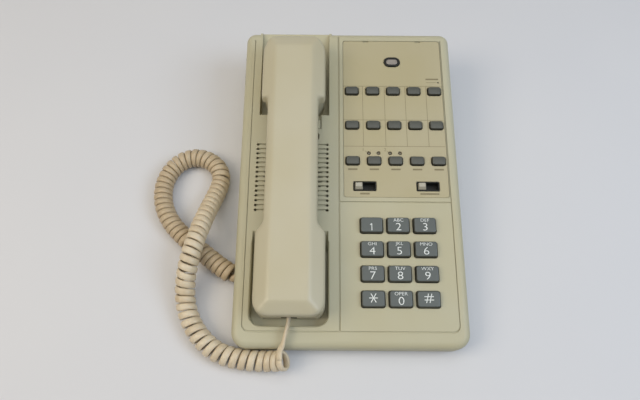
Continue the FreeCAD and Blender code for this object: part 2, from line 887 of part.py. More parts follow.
add("key_board", key_board())
add("key_contact_mat", key_contact_mat())


# Slide switches


def slide_switch(x):
    """A switch on the board: a base, and a black frame that fills its window."""
    base = block(x, switch_v, switch_base, key_board_w, switch_base_top)
    frame = about(x, switch_v, grown(switch_window, -switch_fit), switch_base_top - bite,
                  switch_frame_top, switch_corner - switch_fit)
    inside = grown(switch_window, -switch_fit - switch_frame)
    return base.fuse(frame).cut(block(x, switch_v, inside, switch_slot_floor, above)).removeSplitter()


def slide_knob(x):
    """A knob at the left end of its slot, with a ridge along its top."""
    slot = grown(switch_window, -switch_fit - switch_frame)
    x_knob = x - slot[0] / 2 + knob_gap + knob_size[0] / 2
    foot = about(x_knob, switch_v, knob_size, switch_slot_floor + knob_foot_gap, knob_shoulder, knob_corner)
    ridge = tapered(x_knob, switch_v, knob_size, knob_ridge, knob_shoulder, knob_height, knob_corner,
                    knob_top_corner)
    return foot.fuse(ridge).removeSplitter()


add("slide_switch_bodies", group([slide_switch(x) for x in switch_x]))
add("left_slide_knob", slide_knob(switch_x[0]))
add("right_slide_knob", slide_knob(switch_x[1]))


# Lamps and the small microphone


def lamp_bezel():
    ring = stadium(lamp_x, lamp_v, lamp_bezel_size, lamp_skirt, lamp_ring_height)
    ring = rounded_top(ring, lamp_ring_edge, lamp_ring_height)
    return ring.cut(stadium(lamp_x, lamp_v, lamp_hole_size, far_down, above))


def lamp_lens():
    lens = stadium(lamp_x, lamp_v, lamp_lens_size, key_board_w, lamp_lens_height)
    return rounded_top(lens, lamp_lens_edge, lamp_lens_height)


def line_lamp(x):
    lamp = cylinder(x, line_lamp_v, key_board_w, line_lamp_top, line_lamp_diameter)
    return rounded_top(lamp, line_lamp_diameter / 2 - line_lamp_flat, line_lamp_top)


def hands_free_microphone():
    top = -wall - hands_free_gap
    can = cylinder(hands_free_x, hands_free_v, top - hands_free_length, top, hands_free_diameter)
    return rounded_top(can, hands_free_edge, top)


add("message_lamp_bezel", lamp_bezel())
add("message_lamp_lens", lamp_lens())
add("line_lamps", group([line_lamp(x) for x in line_lamp_x]))
add("hands_free_microphone", hands_free_microphone())


# Speaker


def speaker_frame():
    """The basket and the magnet in one piece, its rim up against the face."""
    r = speaker_diameter / 2
    m = magnet_diameter / 2
    rim_width, rim_depth = speaker_rim
    back = -speaker_height
    waist = back + magnet_height
    floor = waist + basket_floor
    outer = [(0, back), (m, back), (m, waist), (r - basket_foot, -rim_depth), (r, -rim_depth), (r, 0)]
    inner = [(r - rim_width, 0), (r - rim_width, -basket_wall), (m - basket_wall, floor), (0, floor)]
    return turned(outer + inner, handset_x, speaker_v, -wall - speaker_seat_gap)


def speaker_cone():
    """The paper cone, glued inside the rim and closed by its cap."""
    edge = speaker_diameter / 2 - speaker_rim[0] - cone_gap
    low = magnet_height - speaker_height + basket_floor + cone_rise
    under = [(0, low), (cone_cap, low), (edge, -cone_edge)]
    over = [(r, w + cone_thickness) for r, w in reversed(under)]
    return turned(under + over, handset_x, speaker_v, -wall - speaker_seat_gap)


add("speaker_frame", speaker_frame())
add("speaker_cone", speaker_cone())


# Hook plunger, its switch, and the retainer tab

hook_y = world(0, plunger_v).y
hook_switch_top = main_board_z + board_thickness + hook_switch_size[2]
hook_button_top = hook_switch_top + hook_button[2]


def hook_plunger():
    """The plunger that the handle holds down: its foot stands over the switch's button."""
    foot_w = (hook_button_top + hook_button_gap - world(0, plunger_v).z) / cos_t
    top_w = handle_under - plunger_top_gap
    stop = max(wall + plunger_guide_depth, tab_thickness + tab_floor)
    flange_top = -stop - plunger_rise - plunger_stop_gap
    stem = about(handset_x, plunger_v, plunger_size, foot_w, top_w, plunger_corner)
    stem = rounded_top(stem, plunger_edge, top_w)
    flange = about(handset_x, plunger_v, plunger_flange, flange_top - plunger_flange_thickness, flange_top,
                   plunger_guide_wall)
    return stem.fuse(flange).removeSplitter()


def hook_switch():
    foot = main_board_z + board_thickness
    case = block(handset_x, hook_y, hook_switch_size, foot, hook_switch_top)
    return case.fuse(block(handset_x, hook_y, hook_button, hook_switch_top, hook_button_top)).removeSplitter()


def handset_retainer():
    """The small tab in front of the ear well, with a notched corner."""
    back = ear_well_front - tab_back_gap
    tab = box(tab_left, tab_right, tab_front, back, -tab_thickness + tab_under_gap, 0)
    width, length = tab_notch
    return tab.cut(box(tab_right - width, tab_right + above, back - length, back + above, far_down, above))


add("hook_plunger", hook_plunger())
add("hook_switch", hook_switch(), on_face=False)
add("handset_retainer", handset_retainer())


# Main board and what stands on it


def main_board():
    x0, x1 = main_board_x
    board = box(x0, x1, main_board_front, main_board_rear, main_board_z, main_board_z + board_thickness)
    return board.cut([cylinder(x, y, 0, beyond, screw_clear_diameter) for x, y in main_screws_at])


def line_transformer(x):
    """A steel core with its bobbin of wire, which stands out front and back."""
    foot = main_board_z + board_thickness
    core = block(x, transformer_y, transformer_core, foot, foot + transformer_core[2])
    low = foot + (transformer_core[2] - transformer_coil[2]) / 2
    high = low + transformer_coil[2]
    return core.fuse(about(x, transformer_y, transformer_coil, low, high, transformer_corner))


def line_jack(x):
    """A socket for one telephone line, open to the rear."""
    width, depth, height = line_jack_size
    outer = box(x - width / 2, x + width / 2, line_jack_y - depth, line_jack_y, line_jack_z,
                line_jack_z + height)
    middle = line_jack_z + height / 2
    width, depth, height = line_socket
    return outer.cut(box(x - width / 2, x + width / 2, line_jack_y - depth, line_jack_y + above,
                         middle - height / 2, middle + height / 2))


def plug():
    """A clear plug about the origin with its tip towards +Y, and its latch below."""
    width, length, height = plug_size
    body = box(-width / 2, width / 2, 0, length, -height / 2, height / 2)
    step = box(-width, width, -above, plug_step[0], height / 2 - plug_step[1], height)
    width, length, drop = latch
    top = latch_bite - height / 2
    spring = box(-width / 2, width / 2, latch_start, latch_start + length, top - drop, top)
    return body.cut(step).fuse(spring).removeSplitter()


def plug_hole():
    """The hollow of a socket about the origin, with room for the latch."""
    width, length, height = grown(plug_size, plug_gap)
    end = length - plug_gap
    room = latch[0] / 2 + latch_gap
    hole = box(-width / 2, width / 2, -plug_size[1], end, -height / 2, height / 2)
    return hole.fuse(box(-room, room, -plug_size[1], end, latch_drop - height / 2 - latch[2], 0))


def at_base(shape):
    """A plug's shape, laid in the side socket with its tip towards +X."""
    shape.Placement = FreeCAD.Placement(V(pocket_back_x - plug_proud, pocket_y, plug_z),
                                        FreeCAD.Rotation(V(0, 0, 1), -90))
    return shape


def at_handset(shape):
    """A plug's shape, laid in the handset's end socket with its tip towards the ear end."""
    shape.Placement = FreeCAD.Placement(V(handset_x + end_jack_shift, end_plug_v, end_plug_w),
                                        FreeCAD.Rotation())
    return shape


def handset_end_jack():
    """The socket block just inside the mouth end of the handset."""
    x = handset_x + end_jack_shift
    width = plug_size[0] + 2 * plug_gap + 2 * jack_wall
    height = plug_size[2] + 2 * plug_gap + 2 * jack_wall
    depth = plug_size[1] + end_plug_v + plug_gap + jack_wall - end_jack_v
    jack = box(x - width / 2, x + width / 2, end_jack_v, end_jack_v + depth,
               end_plug_w - height / 2, end_plug_w + height / 2)
    return jack.cut(at_handset(plug_hole()))


add("main_board", main_board(), on_face=False)
add("line_transformers", group([line_transformer(x) for x in transformer_x]), on_face=False)
add("line_jacks", group([line_jack(x) for x in line_jack_x]), on_face=False)
add("handset_cord_jack", socket_block().cut(at_base(plug_hole())), on_face=False)
add("base_plug", at_base(plug()), on_face=False)
add("handset_end_jack", handset_end_jack())
add("handset_plug", at_handset(plug()))


# Handset

seat_w = -well_depth + seat_gap
side_points = [
    (mic_end + 4.2, seat_w), (mic_end + 0.5, -6.0), (mic_end, 2.0), (mic_end + 2.2, 15.0),
    (mic_end + 7.0, handset_top), (ear_end - 14.0, handset_top), (ear_end - 4.5, 24.0), (ear_end, 17.0),
    (ear_end, 10.0), (ear_end - 3.0, 2.0), (ear_end - 16.0, seat_w), (cup_low + 4.2, seat_w),
    (cup_low, -7.0), (cup_low, 6.0), (cup_low - 4.0, handle_under), (flare_high + 4.5, handle_under),
    (flare_low - 12.5, seat_w),
]


def handset_side(inset):
    """The handset's side view, drawn in by inset and carried across."""
    x0 = handset_x - head_width
    face = polygon([V(x0, v, w) for v, w in side_points])
    if inset:
        face = face.makeOffset2D(-inset, 2)
    return face.extrude(V(2 * head_width, 0, 0))


def handset_roof(inset):
    """The handset's cross section: a flat top between two long bevels."""
    slope = math.tan(math.radians(roof_slope))
    flat = roof_flat / 2 - inset * math.tan(math.radians(roof_slope / 2))
    top = handset_top - inset
    reach = head_width
    low = top - (reach - flat) * slope
    points = [(-reach, far_down), (reach, far_down), (reach, low), (flat, top), (-flat, top), (-reach, low)]
    return polygon([V(handset_x + x, 0, w) for x, w in points]).extrude(V(0, beyond, 0))


def flare(inset, w0, w1):
    """The two slanting shoulders between mouth end and handle."""
    wide = head_width / 2 - inset
    slim = handle_width / 2 - inset
    slant = math.atan2(flare_high - flare_low, wide - slim)
    step = inset * math.tan(math.pi / 4 - slant / 2)
    points = [(-wide, flare_low - bite), (wide, flare_low - bite), (wide, flare_low - step),
              (slim, flare_high - step), (-slim, flare_high - step), (-wide, flare_low - step)]
    return polygon([V(handset_x + x, v, w0) for x, v in points]).extrude(V(0, 0, w1 - w0))


def handset_plan(inset, w0, w1, end_width, end_v, near):
    """The handset's top view: mouth end, shoulders, handle and an ear end of that width."""
    wide = head_width / 2 - inset
    slim = handle_width / 2 - inset
    end = end_width / 2 - inset
    mouth = rounded(handset_x - wide, handset_x + wide, mic_end - bite + inset, flare_low, w0, w1,
                    head_corner + bite - inset, flare_corner)
    handle = box(handset_x - slim, handset_x + slim, flare_low, ear_end - ear_corner, w0, w1)
    ear = rounded(handset_x - end, handset_x + end, end_v + inset, ear_end - inset, w0, w1, near,
                  ear_corner - inset)
    return mouth.fuse([flare(inset, w0, w1), handle, ear]).removeSplitter()


def handset_outside():
    upper = handset_plan(0.0, parting, beyond, ear_head_width, ear_step, ear_step_corner)
    lower = handset_plan(0.0, far_down, parting, ear_head_width - ear_cup_step, cup_low, cup_corner)
    return upper.fuse(lower).common(handset_side(0.0)).common(handset_roof(0.0)).removeSplitter()


def handset_inside():
    t = handset_wall
    upper = handset_plan(t, handle_under, beyond, ear_head_width, ear_step, ear_step_corner / 2)
    lower = handset_plan(t, far_down, parting - t, ear_head_width - ear_cup_step, cup_low, cup_corner - t)
    return upper.fuse(lower).common(handset_side(t)).common(handset_roof(t)).removeSplitter()


def sound_holes(v, rings):
    """A round pattern of holes: one in the middle and rings of six, twelve and so on."""
    holes = []
    for ring in range(rings + 1):
        for i in range(max(6 * ring, 1)):
            turn = 2 * math.pi * i / max(6 * ring, 1)
            x = handset_x + ring * sound_ring * math.cos(turn)
            y = v + ring * sound_ring * math.sin(turn)
            holes.append(cylinder(x, y, far_down, -well_depth / 2, sound_hole))
    return holes


def handset_shells():
    outside = handset_outside()
    skin = outside.cut(handset_inside())
    back = skin.common(slab(parting, beyond))
    front = skin.common(slab(-beyond, parting))
    x = handset_x + end_jack_shift
    half = plug_size[0] / 2 + end_notch_gap
    notch = box(x - half, x + half, 0, end_jack_v, end_plug_w - end_notch_low, end_plug_w + end_notch_high)
    holes = sound_holes(receiver_v, receiver_rings) + sound_holes(mouthpiece_v, mouthpiece_rings)
    return back, front.cut(holes + [notch])


def capsule(v, size):
    """A round capsule on the inside of the front shell, over its sound holes."""
    low = seat_w + handset_wall + capsule_gap
    high = low + size[1]
    less, rise = capsule_step
    body = rounded_top(cylinder(handset_x, v, low, high, size[0]), capsule_edge, high)
    return body.fuse(cylinder(handset_x, v, high, high + rise, size[0] - less)).removeSplitter()


def handset_weight():
    """The steel block in the handle that keeps the handset down in its wells."""
    low = handle_under + handset_wall + capsule_gap
    return about(handset_x, weight_v, weight_size, low, low + weight_size[2], weight_corner)


back_shell, front_shell = handset_shells()
add("handset_back_shell", back_shell)
add("handset_front_shell", front_shell)
add("receiver_capsule", capsule(receiver_v, receiver_size))
add("microphone_capsule", capsule(mouthpiece_v, mouthpiece_size))
add("handset_weight", handset_weight())


# Cord


def smooth_line(points, steps=line_steps):
    """Places and headings on the smooth line that runs from the first point to the last and
    touches the middle of each run between them."""
    points = [V(*p) for p in points]
    middles = [(a + b) * 0.5 for a, b in zip(points, points[1:])]
    starts = [points[0]] + middles[1:-1]
    ends = middles[1:-1] + [points[-1]]
    places = []
    headings = []
    for a, b, c in zip(starts, points[1:-1], ends):
        for i in range(steps):
            t = i / steps
            places.append(a * (1 - t) ** 2 + b * (2 * t * (1 - t)) + c * t ** 2)
            headings.append(((b - a) * (1 - t) + (c - b) * t).normalize())
    places.append(points[-1])
    headings.append((points[-1] - points[-2]).normalize())
    return places, headings


def ease(x):
    """From 0 to 1, level at both ends."""
    x = min(max(x, 0.0), 1.0)
    return x * x * (3 - 2 * x)


def coil_pitch(at, whole):
    """How far the coil goes on in one turn, at a length along its axis."""
    pitch = open_pitch + (middle_pitch - open_pitch) * ease((at - open_length) / pitch_change)
    pitch += (closed_pitch - middle_pitch) * ease((at - middle_length) / pitch_change)
    return pitch + (tail_pitch - pitch) * ease((at - whole + tail_start * tail_length) / tail_length)


class Coil:
    """The wire's centre line, read at any length along the coil's axis."""

    def __init__(self):
        self.places, self.headings = smooth_line(coil_route)
        self.lengths = [0.0]
        for a, b in zip(self.places, self.places[1:]):
            self.lengths.append(self.lengths[-1] + (b - a).Length)
        self.whole = self.lengths[-1]
        self.across = [self.headings[0].cross(V(0, 0, 1)).normalize()]
        self.turns = [math.radians(coil_start_angle)]
        for i in range(1, len(self.places)):
            heading = self.headings[i]
            side = self.across[-1]
            self.across.append((side - heading * side.dot(heading)).normalize())
            low, high = self.lengths[i - 1], self.lengths[i]
            pitch = coil_pitch((low + high) / 2, self.whole)
            self.turns.append(self.turns[-1] + 2 * math.pi * (high - low) / pitch)

    def row(self, values, value):
        """Which step of a rising row of values holds this one, and how far along it."""
        i = min(max(bisect.bisect_right(values, value) - 1, 0), len(values) - 2)
        return i, (value - values[i]) / (values[i + 1] - values[i])

    def at(self, length):
        """The wire's place where its axis has run that far."""
        i, t = self.row(self.lengths, length)
        place = self.places[i] * (1 - t) + self.places[i + 1] * t
        heading = (self.headings[i] * (1 - t) + self.headings[i + 1] * t).normalize()
        across = self.across[i] * (1 - t) + self.across[i + 1] * t
        across = (across - heading * across.dot(heading)).normalize()
        turn = self.turns[i] * (1 - t) + self.turns[i + 1] * t
        reach = (coil_diameter - wire_diameter) / 2 * ease((self.whole - length) / tail_length)
        return place + across * (reach * math.cos(turn)) + across.cross(heading) * (reach * math.sin(turn))

    def heading(self, length):
        low, high = max(length - heading_step, 0.0), min(length + heading_step, self.whole)
        return (self.at(high) - self.at(low)).normalize()

    def length_at(self, turn):
        """How far the axis has run when the wire has turned that far."""
        i, t = self.row(self.turns, turn)
        return self.lengths[i] * (1 - t) + self.lengths[i + 1] * t


def two_arcs(a, way_a, b, way_b):
    """Two arcs that leave a and reach b in the given directions: each as (end, corner)."""
    across = b - a
    both = way_a + way_b
    spread = 2 * (1 - way_a.dot(way_b))
    along = across.dot(both)
    if spread < close ** 2:
        reach = across.dot(across) / (2 * along)
    else:
        reach = (-along + math.sqrt(along ** 2 + spread * across.dot(across))) / spread
    first = a + way_a * reach
    second = b - way_b * reach
    middle = (first + second) * 0.5
    return [(a, first, middle), (middle, second, b)]


def arc_edge(a, corner, b):
    """An arc from a to b whose end tangents meet at the corner, and its radius."""
    chord = b - a
    toward = corner - (a + b) * 0.5
    half = math.atan2(toward.Length * 2, chord.Length)
    if half < close:
        return Part.LineSegment(a, b).toShape(), math.inf
    top = (a + b) * 0.5 + toward.normalize() * (chord.Length / 2 * math.tan(half / 2))
    return Part.Arc(a, top, b).toShape(), chord.Length / 2 / math.sin(half)


def tube(path):
    """A solid round wire along a path."""
    start = path.OrderedEdges[0]
    at = start.valueAt(start.FirstParameter)
    way = start.tangentAt(start.FirstParameter)
    ring = Part.Wire(Part.Circle(at, way, wire_diameter / 2).toShape())
    shell = Part.BRepOffsetAPI.MakePipeShell(path)
    shell.add(ring)
    shell.build()
    shell.makeSolid()
    return shell.shape()


def print_length(name, path, solid):
    """The wire's length, and its volume as a share of length times section, which is one."""
    section = math.pi * wire_diameter ** 2 / 4
    print(name + ": length", round(path.Length, 1), "volume", round(solid.Volume / section / path.Length, 4))


def curly_cord(coil):
    """One unbroken wire: a short straight, all the turns, and the straight end in the plug."""
    first_turn, last_turn = coil.turns[0], coil.turns[-1]
    count = round((last_turn - first_turn) / math.pi)
    stations = [coil.length_at(first_turn + (last_turn - first_turn) * i / count) for i in range(count + 1)]
    stations[0], stations[-1] = 0.0, coil.whole
    places = [coil.at(s) for s in stations]
    ways = [coil.heading(s) for s in stations]
    ways[-1] = V(1, 0, 0)
    edges = [Part.LineSegment(places[0] - ways[0] * wire_diameter, places[0]).toShape()]
    radii = []
    for i in range(count):
        for a, corner, b in two_arcs(places[i], ways[i], places[i + 1], ways[i + 1]):
            edge, radius = arc_edge(a, corner, b)
            edges.append(edge)
            radii.append(radius)
    edges.append(Part.LineSegment(places[-1], V(pocket_back_x - plug_proud, pocket_y, plug_z)).toShape())
    path = Part.Wire(edges)
    solid = tube(path)
    print("curly cord: turns", round((last_turn - first_turn) / 2 / math.pi, 1),
          "least radius", round(min(radii), 2), "least gap to itself", round(least_gap(path), 2))
    print_length("curly cord", path, solid)
    return solid, places[0] - ways[0] * wire_diameter, ways[0]


def least_gap(path):
    """The least gap between the wire and the rest of itself, measured on points."""
    points = []
    for edge in path.Edges:
        steps = max(round(edge.Length / gap_step), 1)
        span = edge.LastParameter - edge.FirstParameter
        points += [edge.valueAt(edge.FirstParameter + span * i / steps) for i in range(steps)]
    step = path.Length / len(points)
    skip = round(coil_diameter / step)
    cells = {}
    for i, p in enumerate(points):
        cells.setdefault((p.x // gap_cell, p.y // gap_cell, p.z // gap_cell), []).append((i, p))
    least = gap_cell
    for (cx, cy, cz), here in cells.items():
        near = [q for dx in (-1, 0, 1) for dy in (-1, 0, 1) for dz in (-1, 0, 1)
                for q in cells.get((cx + dx, cy + dy, cz + dz), [])]
        for i, p in here:
            for j, q in near:
                if j - i > skip:
                    least = min(least, (p - q).Length)
    return least - wire_diameter


def rounded_path(points):
    """Straight runs joined by arcs as large as the runs allow, and the least radius."""
    edges = []
    radii = []
    last = points[0]
    for a, corner, b in zip(points, points[1:], points[2:]):
        way_in = (corner - a).normalize()
        way_out = (b - corner).normalize()
        half = math.acos(max(min(way_in.dot(way_out), 1), -1)) / 2
        back = arc_share * min((corner - a).Length, (b - corner).Length)
        start = corner - way_in * back
        end = corner + way_out * back
        arc, radius = arc_edge(start, corner, end)
        edges += [Part.LineSegment(last, start).toShape(), arc]
        radii.append(back / math.tan(half))
        last = end
    edges.append(Part.LineSegment(last, points[-1]).toShape())
    return Part.Wire(edges), radii


def handset_lead(coil_end, coil_way):
    """The straight end of the cord: out of the handset's plug, over the front edge, to the coil."""
    points = [world(*p) for p in lead_over_face]
    points += [coil_end - coil_way * lead_last_run, coil_end]
    path, radii = rounded_path(points)
    solid = tube(path)
    print("lead: radii", [round(r, 1) for r in radii])
    print_length("lead", path, solid)
    return solid


cord, cord_start, cord_way = curly_cord(Coil())
add("curly_cord", cord, on_face=False)
add("handset_lead", handset_lead(cord_start, cord_way), on_face=False)

for name, shape in nodes.items():
    print(name, len(shape.Solids), "solids", round(shape.Volume), "mm3", shape.isValid())

os.makedirs("parts", exist_ok=True)
for name, shape in nodes.items():
    shape.exportStep(f"parts/{name}.step")
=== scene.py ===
# %% [markdown]
# # A two-line desk telephone
# A beige desk set from the age of push buttons: a wedge of moulded plastic, a handset in two wells,
# a curly cord, a dial pad and fifteen small keys. The mechanical model is loaded as a frame that
# never moves. What is soft, printed or finely shaped is modelled round it, and every surface gets
# the finish of the plastic, rubber or metal that it is made of.

# %% Load the mechanical model
import math

import bmesh
import bpy
from mathutils import Matrix, Quaternion, Vector


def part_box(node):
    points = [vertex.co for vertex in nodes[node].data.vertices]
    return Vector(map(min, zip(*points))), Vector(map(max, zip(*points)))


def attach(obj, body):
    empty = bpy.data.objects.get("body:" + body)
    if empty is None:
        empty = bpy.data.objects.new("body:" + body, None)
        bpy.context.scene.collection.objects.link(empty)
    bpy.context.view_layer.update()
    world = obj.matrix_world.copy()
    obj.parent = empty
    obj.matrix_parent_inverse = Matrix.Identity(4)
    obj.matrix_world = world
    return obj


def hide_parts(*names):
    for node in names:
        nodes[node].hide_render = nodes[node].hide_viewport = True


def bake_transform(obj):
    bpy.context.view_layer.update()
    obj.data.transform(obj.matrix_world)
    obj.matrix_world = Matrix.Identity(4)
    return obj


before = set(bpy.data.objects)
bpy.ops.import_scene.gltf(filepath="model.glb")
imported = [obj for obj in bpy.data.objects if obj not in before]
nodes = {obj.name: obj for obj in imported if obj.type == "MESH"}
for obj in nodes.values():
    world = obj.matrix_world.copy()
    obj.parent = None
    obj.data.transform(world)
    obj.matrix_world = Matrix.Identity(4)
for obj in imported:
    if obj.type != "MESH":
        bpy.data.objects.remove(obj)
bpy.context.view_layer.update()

# %% [markdown]
# Most of the set is laid out on its sloping face, so the script works in the face's own frame: x
# runs across, v up the slope and w out of it, all in millimetres. One matrix carries that frame
# into the room. Finished meshes are moved by it and not their objects, so that every object ends
# at the origin with its place in its mesh.

# %% The face's own frame
mm = 0.001
face_tilt = math.radians(7.5)
groove_height = 21.5
front_v = -11.0
edge_rounding = 5.0
tilt_sin, tilt_cos = math.sin(face_tilt), math.cos(face_tilt)
front_y = front_v * tilt_cos + edge_rounding * (tilt_sin + tilt_cos - 1)
shift_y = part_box("top_housing")[0].y / mm - front_y
face = (Matrix.Translation((0, shift_y * mm, groove_height * mm))
        @ Matrix.Rotation(face_tilt, 4, "X"))
to_face = face.inverted()


def on_face(x, v, w):
    """A point of the face's frame, in millimetres, as a place in the room."""
    return face @ (Vector((x, v, w)) * mm)


print("face frame starts at y", round(shift_y, 2), "mm")

# %% [markdown]
# ## The view
# The camera stands above the front edge and looks down past the handset. Its place, its tilt and
# its angle of view were worked out from the even spacing of the keys, which is the same on every
# set of this kind, so the frame matches without any shift.

# %% The camera
image_width = 640
focal_pixels = 566.0
sensor_width = 36.0
camera_place = (-21.4, -39.4, 391.5)
camera_turns = ((0.07, "Z"), (18.86, "X"), (0.31, "Z"))

camera = bpy.data.objects.new("camera", bpy.data.cameras.new("camera"))
bpy.context.scene.collection.objects.link(camera)
camera.data.sensor_width = sensor_width
camera.data.lens = focal_pixels / image_width * sensor_width
camera.data.clip_start = 0.01
turn = Matrix()
for degrees, axis in camera_turns:
    turn = turn @ Matrix.Rotation(math.radians(degrees), 4, axis)
camera.matrix_world = face @ Matrix.Translation(Vector(camera_place) * mm) @ turn
bpy.context.scene.camera = camera
print("camera at", [round(c, 3) for c in camera.matrix_world.translation])

# %% [markdown]
# ## Tools for finishes
# A material is a small tree of nodes. One function adds a node with its settings and links, and one
# turns a colour written as sRGB hex, as a colour picker shows it, into the linear numbers that
# shaders work with. Patterns read Object coordinates, and since every object sits at the origin,
# those are real metres: a pattern's scale is one over its real size. How strongly a plastic bends
# light is known for each kind, and its gloss follows from that.

# %% Helpers for node trees
def srgb(code):
    """A colour written as sRGB hex, as linear red, green, blue and alpha."""
    parts = [int(code[i:i + 2], 16) / 255 for i in (1, 3, 5)]
    linear = [c / 12.92 if c <= 0.04045 else ((c + 0.055) / 1.055) ** 2.4 for c in parts]
    return (*linear, 1.0)


def per_mm(size):
    """The scale of a pattern whose features are that many millimetres across."""
    return 1 / (size * mm)


def fill(node, inputs):
    """Fills a node's inputs. Each takes a number, a colour or another node's socket."""
    for key, value in inputs.items():
        if isinstance(value, bpy.types.NodeSocket):
            node.id_data.links.new(value, node.inputs[key])
        else:
            node.inputs[key].default_value = value


def add_node(tree, kind, inputs=None, **settings):
    """Adds a node with its settings and fills its inputs."""
    node = tree.nodes.new(kind)
    for key, value in settings.items():
        setattr(node, key, value)
    fill(node, inputs or {})
    return node


def new_material(name):
    """An empty material with its output and Principled shader: returns all three."""
    material = bpy.data.materials.new(name)
    material.use_nodes = True
    tree = material.node_tree
    tree.nodes.clear()
    shader = add_node(tree, "ShaderNodeBsdfPrincipled")
    add_node(tree, "ShaderNodeOutputMaterial", {"Surface": shader.outputs["BSDF"]})
    return material, tree, shader


abs_ior, vinyl_ior, polycarbonate_ior = 1.53, 1.52, 1.585

# %% [markdown]
# ## Moulded plastic
# Almost all of the set is ABS, injection moulded in a steel tool whose walls were spark-eroded to a
# fine grain. Three things make it look like that and not like paint: the grain, which breaks up
# every highlight, a slow drift of colour where years of light have yellowed it unevenly, and edges
# that are never quite sharp. The grain of the real tool is about 0.15 mm, too fine to show from
# half a metre, so it is drawn at 0.7 mm. The soft edge is a Bevel node, which rounds the shading
# of the mechanical pieces' edges and leaves their shape as it is.

# %% A moulded plastic
yellowing_size, grain_size, moulded_edge = 55, 0.7, 0.35


def moulded_plastic(name, colour, aged, roughness, grain_depth=0.018):
    """ABS with moulded grain of a depth in millimetres. Its colour drifts to aged."""
    material, tree, shader = new_material(name)
    place = add_node(tree, "ShaderNodeTexCoord").outputs["Object"]
    drift = add_node(tree, "ShaderNodeTexNoise",
                     {"Vector": place, "Scale": per_mm(yellowing_size), "Detail": 2.0})
    drift_ramp = add_node(tree, "ShaderNodeMapRange",
                          {"Value": drift.outputs["Fac"], "From Min": 0.35, "From Max": 0.65})
    fine = add_node(tree, "ShaderNodeTexNoise",
                    {"Vector": place, "Scale": per_mm(grain_size), "Detail": 3.0})
    blotch = add_node(tree, "ShaderNodeMapRange",
                      {"Value": fine.outputs["Fac"], "From Min": 0.3, "From Max": 0.7,
                       "To Min": -0.06, "To Max": 0.06})
    share = add_node(tree, "ShaderNodeMath",
                     {0: drift_ramp.outputs["Result"], 1: blotch.outputs["Result"]},
                     operation="ADD", use_clamp=True)
    shine = add_node(tree, "ShaderNodeMapRange",
                     {"Value": fine.outputs["Fac"],
                      "To Min": roughness - 0.05, "To Max": roughness + 0.05})
    tint = add_node(tree, "ShaderNodeMix", {0: share.outputs[0], 6: srgb(colour), 7: srgb(aged)},
                    data_type="RGBA")
    edge = add_node(tree, "ShaderNodeBevel", {"Radius": moulded_edge * mm}, samples=6)
    bump = add_node(tree, "ShaderNodeBump",
                    {"Height": fine.outputs["Fac"], "Distance": grain_depth * mm,
                     "Normal": edge.outputs["Normal"]})
    fill(shader, {"Base Color": tint.outputs[2], "Roughness": shine.outputs["Result"],
                  "Normal": bump.outputs["Normal"], "IOR": abs_ior})
    return material


def shader_of(material):
    """The Principled shader of a material."""
    return next(n for n in material.node_tree.nodes if n.type == "BSDF_PRINCIPLED")


def paint_side_shade(material, side_shade, steep=0.25, level=0.9):
    """Paints shade on the sides of a piece: faces that turn away from up darken to a shade colour,
    and its top keeps its own.
    """
    tree, shader = material.node_tree, shader_of(material)
    top_colour = shader.inputs["Base Color"].links[0].from_socket
    normal = add_node(tree, "ShaderNodeNewGeometry").outputs["Normal"]
    up = add_node(tree, "ShaderNodeVectorMath",
                  {0: normal, 1: face.to_3x3() @ Vector((0, 0, 1))}, operation="DOT_PRODUCT")
    topness = add_node(tree, "ShaderNodeMapRange",
                       {"Value": up.outputs["Value"], "From Min": steep, "From Max": level})
    tint = add_node(tree, "ShaderNodeMix",
                    {0: topness.outputs["Result"], 6: srgb(side_shade), 7: top_colour}, data_type="RGBA")
    fill(shader, {"Base Color": tint.outputs[2]})


# Warm beige ABS, a little yellowed, with the soft sheen of a fine spark-eroded grain.
housing_abs = moulded_plastic("beige_abs_spark_eroded", "#B5B196", "#B3AD8E", 0.50)
# The inset plate was moulded separately and has yellowed a touch more than the shell.
plate_abs = moulded_plastic("beige_abs_inset_plate", "#AFA686", "#ACA27E", 0.46)
# The handset is rubbed by hands, so it is smoother than the shell; its colour is set a little
# paler.
handset_abs = moulded_plastic("beige_abs_hand_polished", "#BAB399", "#B7AF92", 0.38,
                              grain_depth=0.010)
# Keys of grey ABS, satin: a tighter highlight than the shell's, and painted shade that darkens
# their sides.
key_abs = moulded_plastic("grey_abs_satin_keys", "#4F5653", "#4B514E", 0.42, grain_depth=0.008)
paint_side_shade(key_abs, "#242624")
# The small keys come from another batch of the same ABS, a touch darker and browner.
small_key_abs = moulded_plastic("grey_abs_small_keys", "#474941", "#43453E", 0.42,
                                grain_depth=0.008)
# Painted shade darkens the small keys' sides too.
paint_side_shade(small_key_abs, "#222320")
# Black ABS of the switch frames and the lamp's ring: nearly all it shows is its sheen.
black_abs = moulded_plastic("black_abs_satin", "#181917", "#1E1F1B", 0.50, grain_depth=0.008)
fill(shader_of(black_abs), {"Specular IOR Level": 0.25})
# The slide knobs are an off-white ABS that stays paler than the shell.
knob_abs = moulded_plastic("offwhite_abs_knobs", "#B0AC9C", "#A8A290", 0.40, grain_depth=0.006)
# Painted shade darkens the knobs' front slopes.
paint_side_shade(knob_abs, "#827D6C", 0.86, 0.98)
print("plastics made:", [m.name for m in bpy.data.materials])

# %% [markdown]
# ## The cord's plastic and the small parts' finishes
# The cord's jacket is a soft vinyl: smoother than the shell, warmer in colour, with a faint bloom
# and a little dirt. It bends and stretches, so its pattern reads the cable's own UV map, which runs
# in millimetres round and along it, and never slides. The other finishes are small: clear
# polycarbonate for the plugs, black rubber for the feet, zinc-plated steel for screws, laminate
# for the boards, paper for the cone. Each still gets the variation that its real one shows.

# %% Vinyl, rubber, steel and the rest
bloom_size, ripple_size, ripple_depth, flow_size = 14, 1.6, 0.03, 3.0


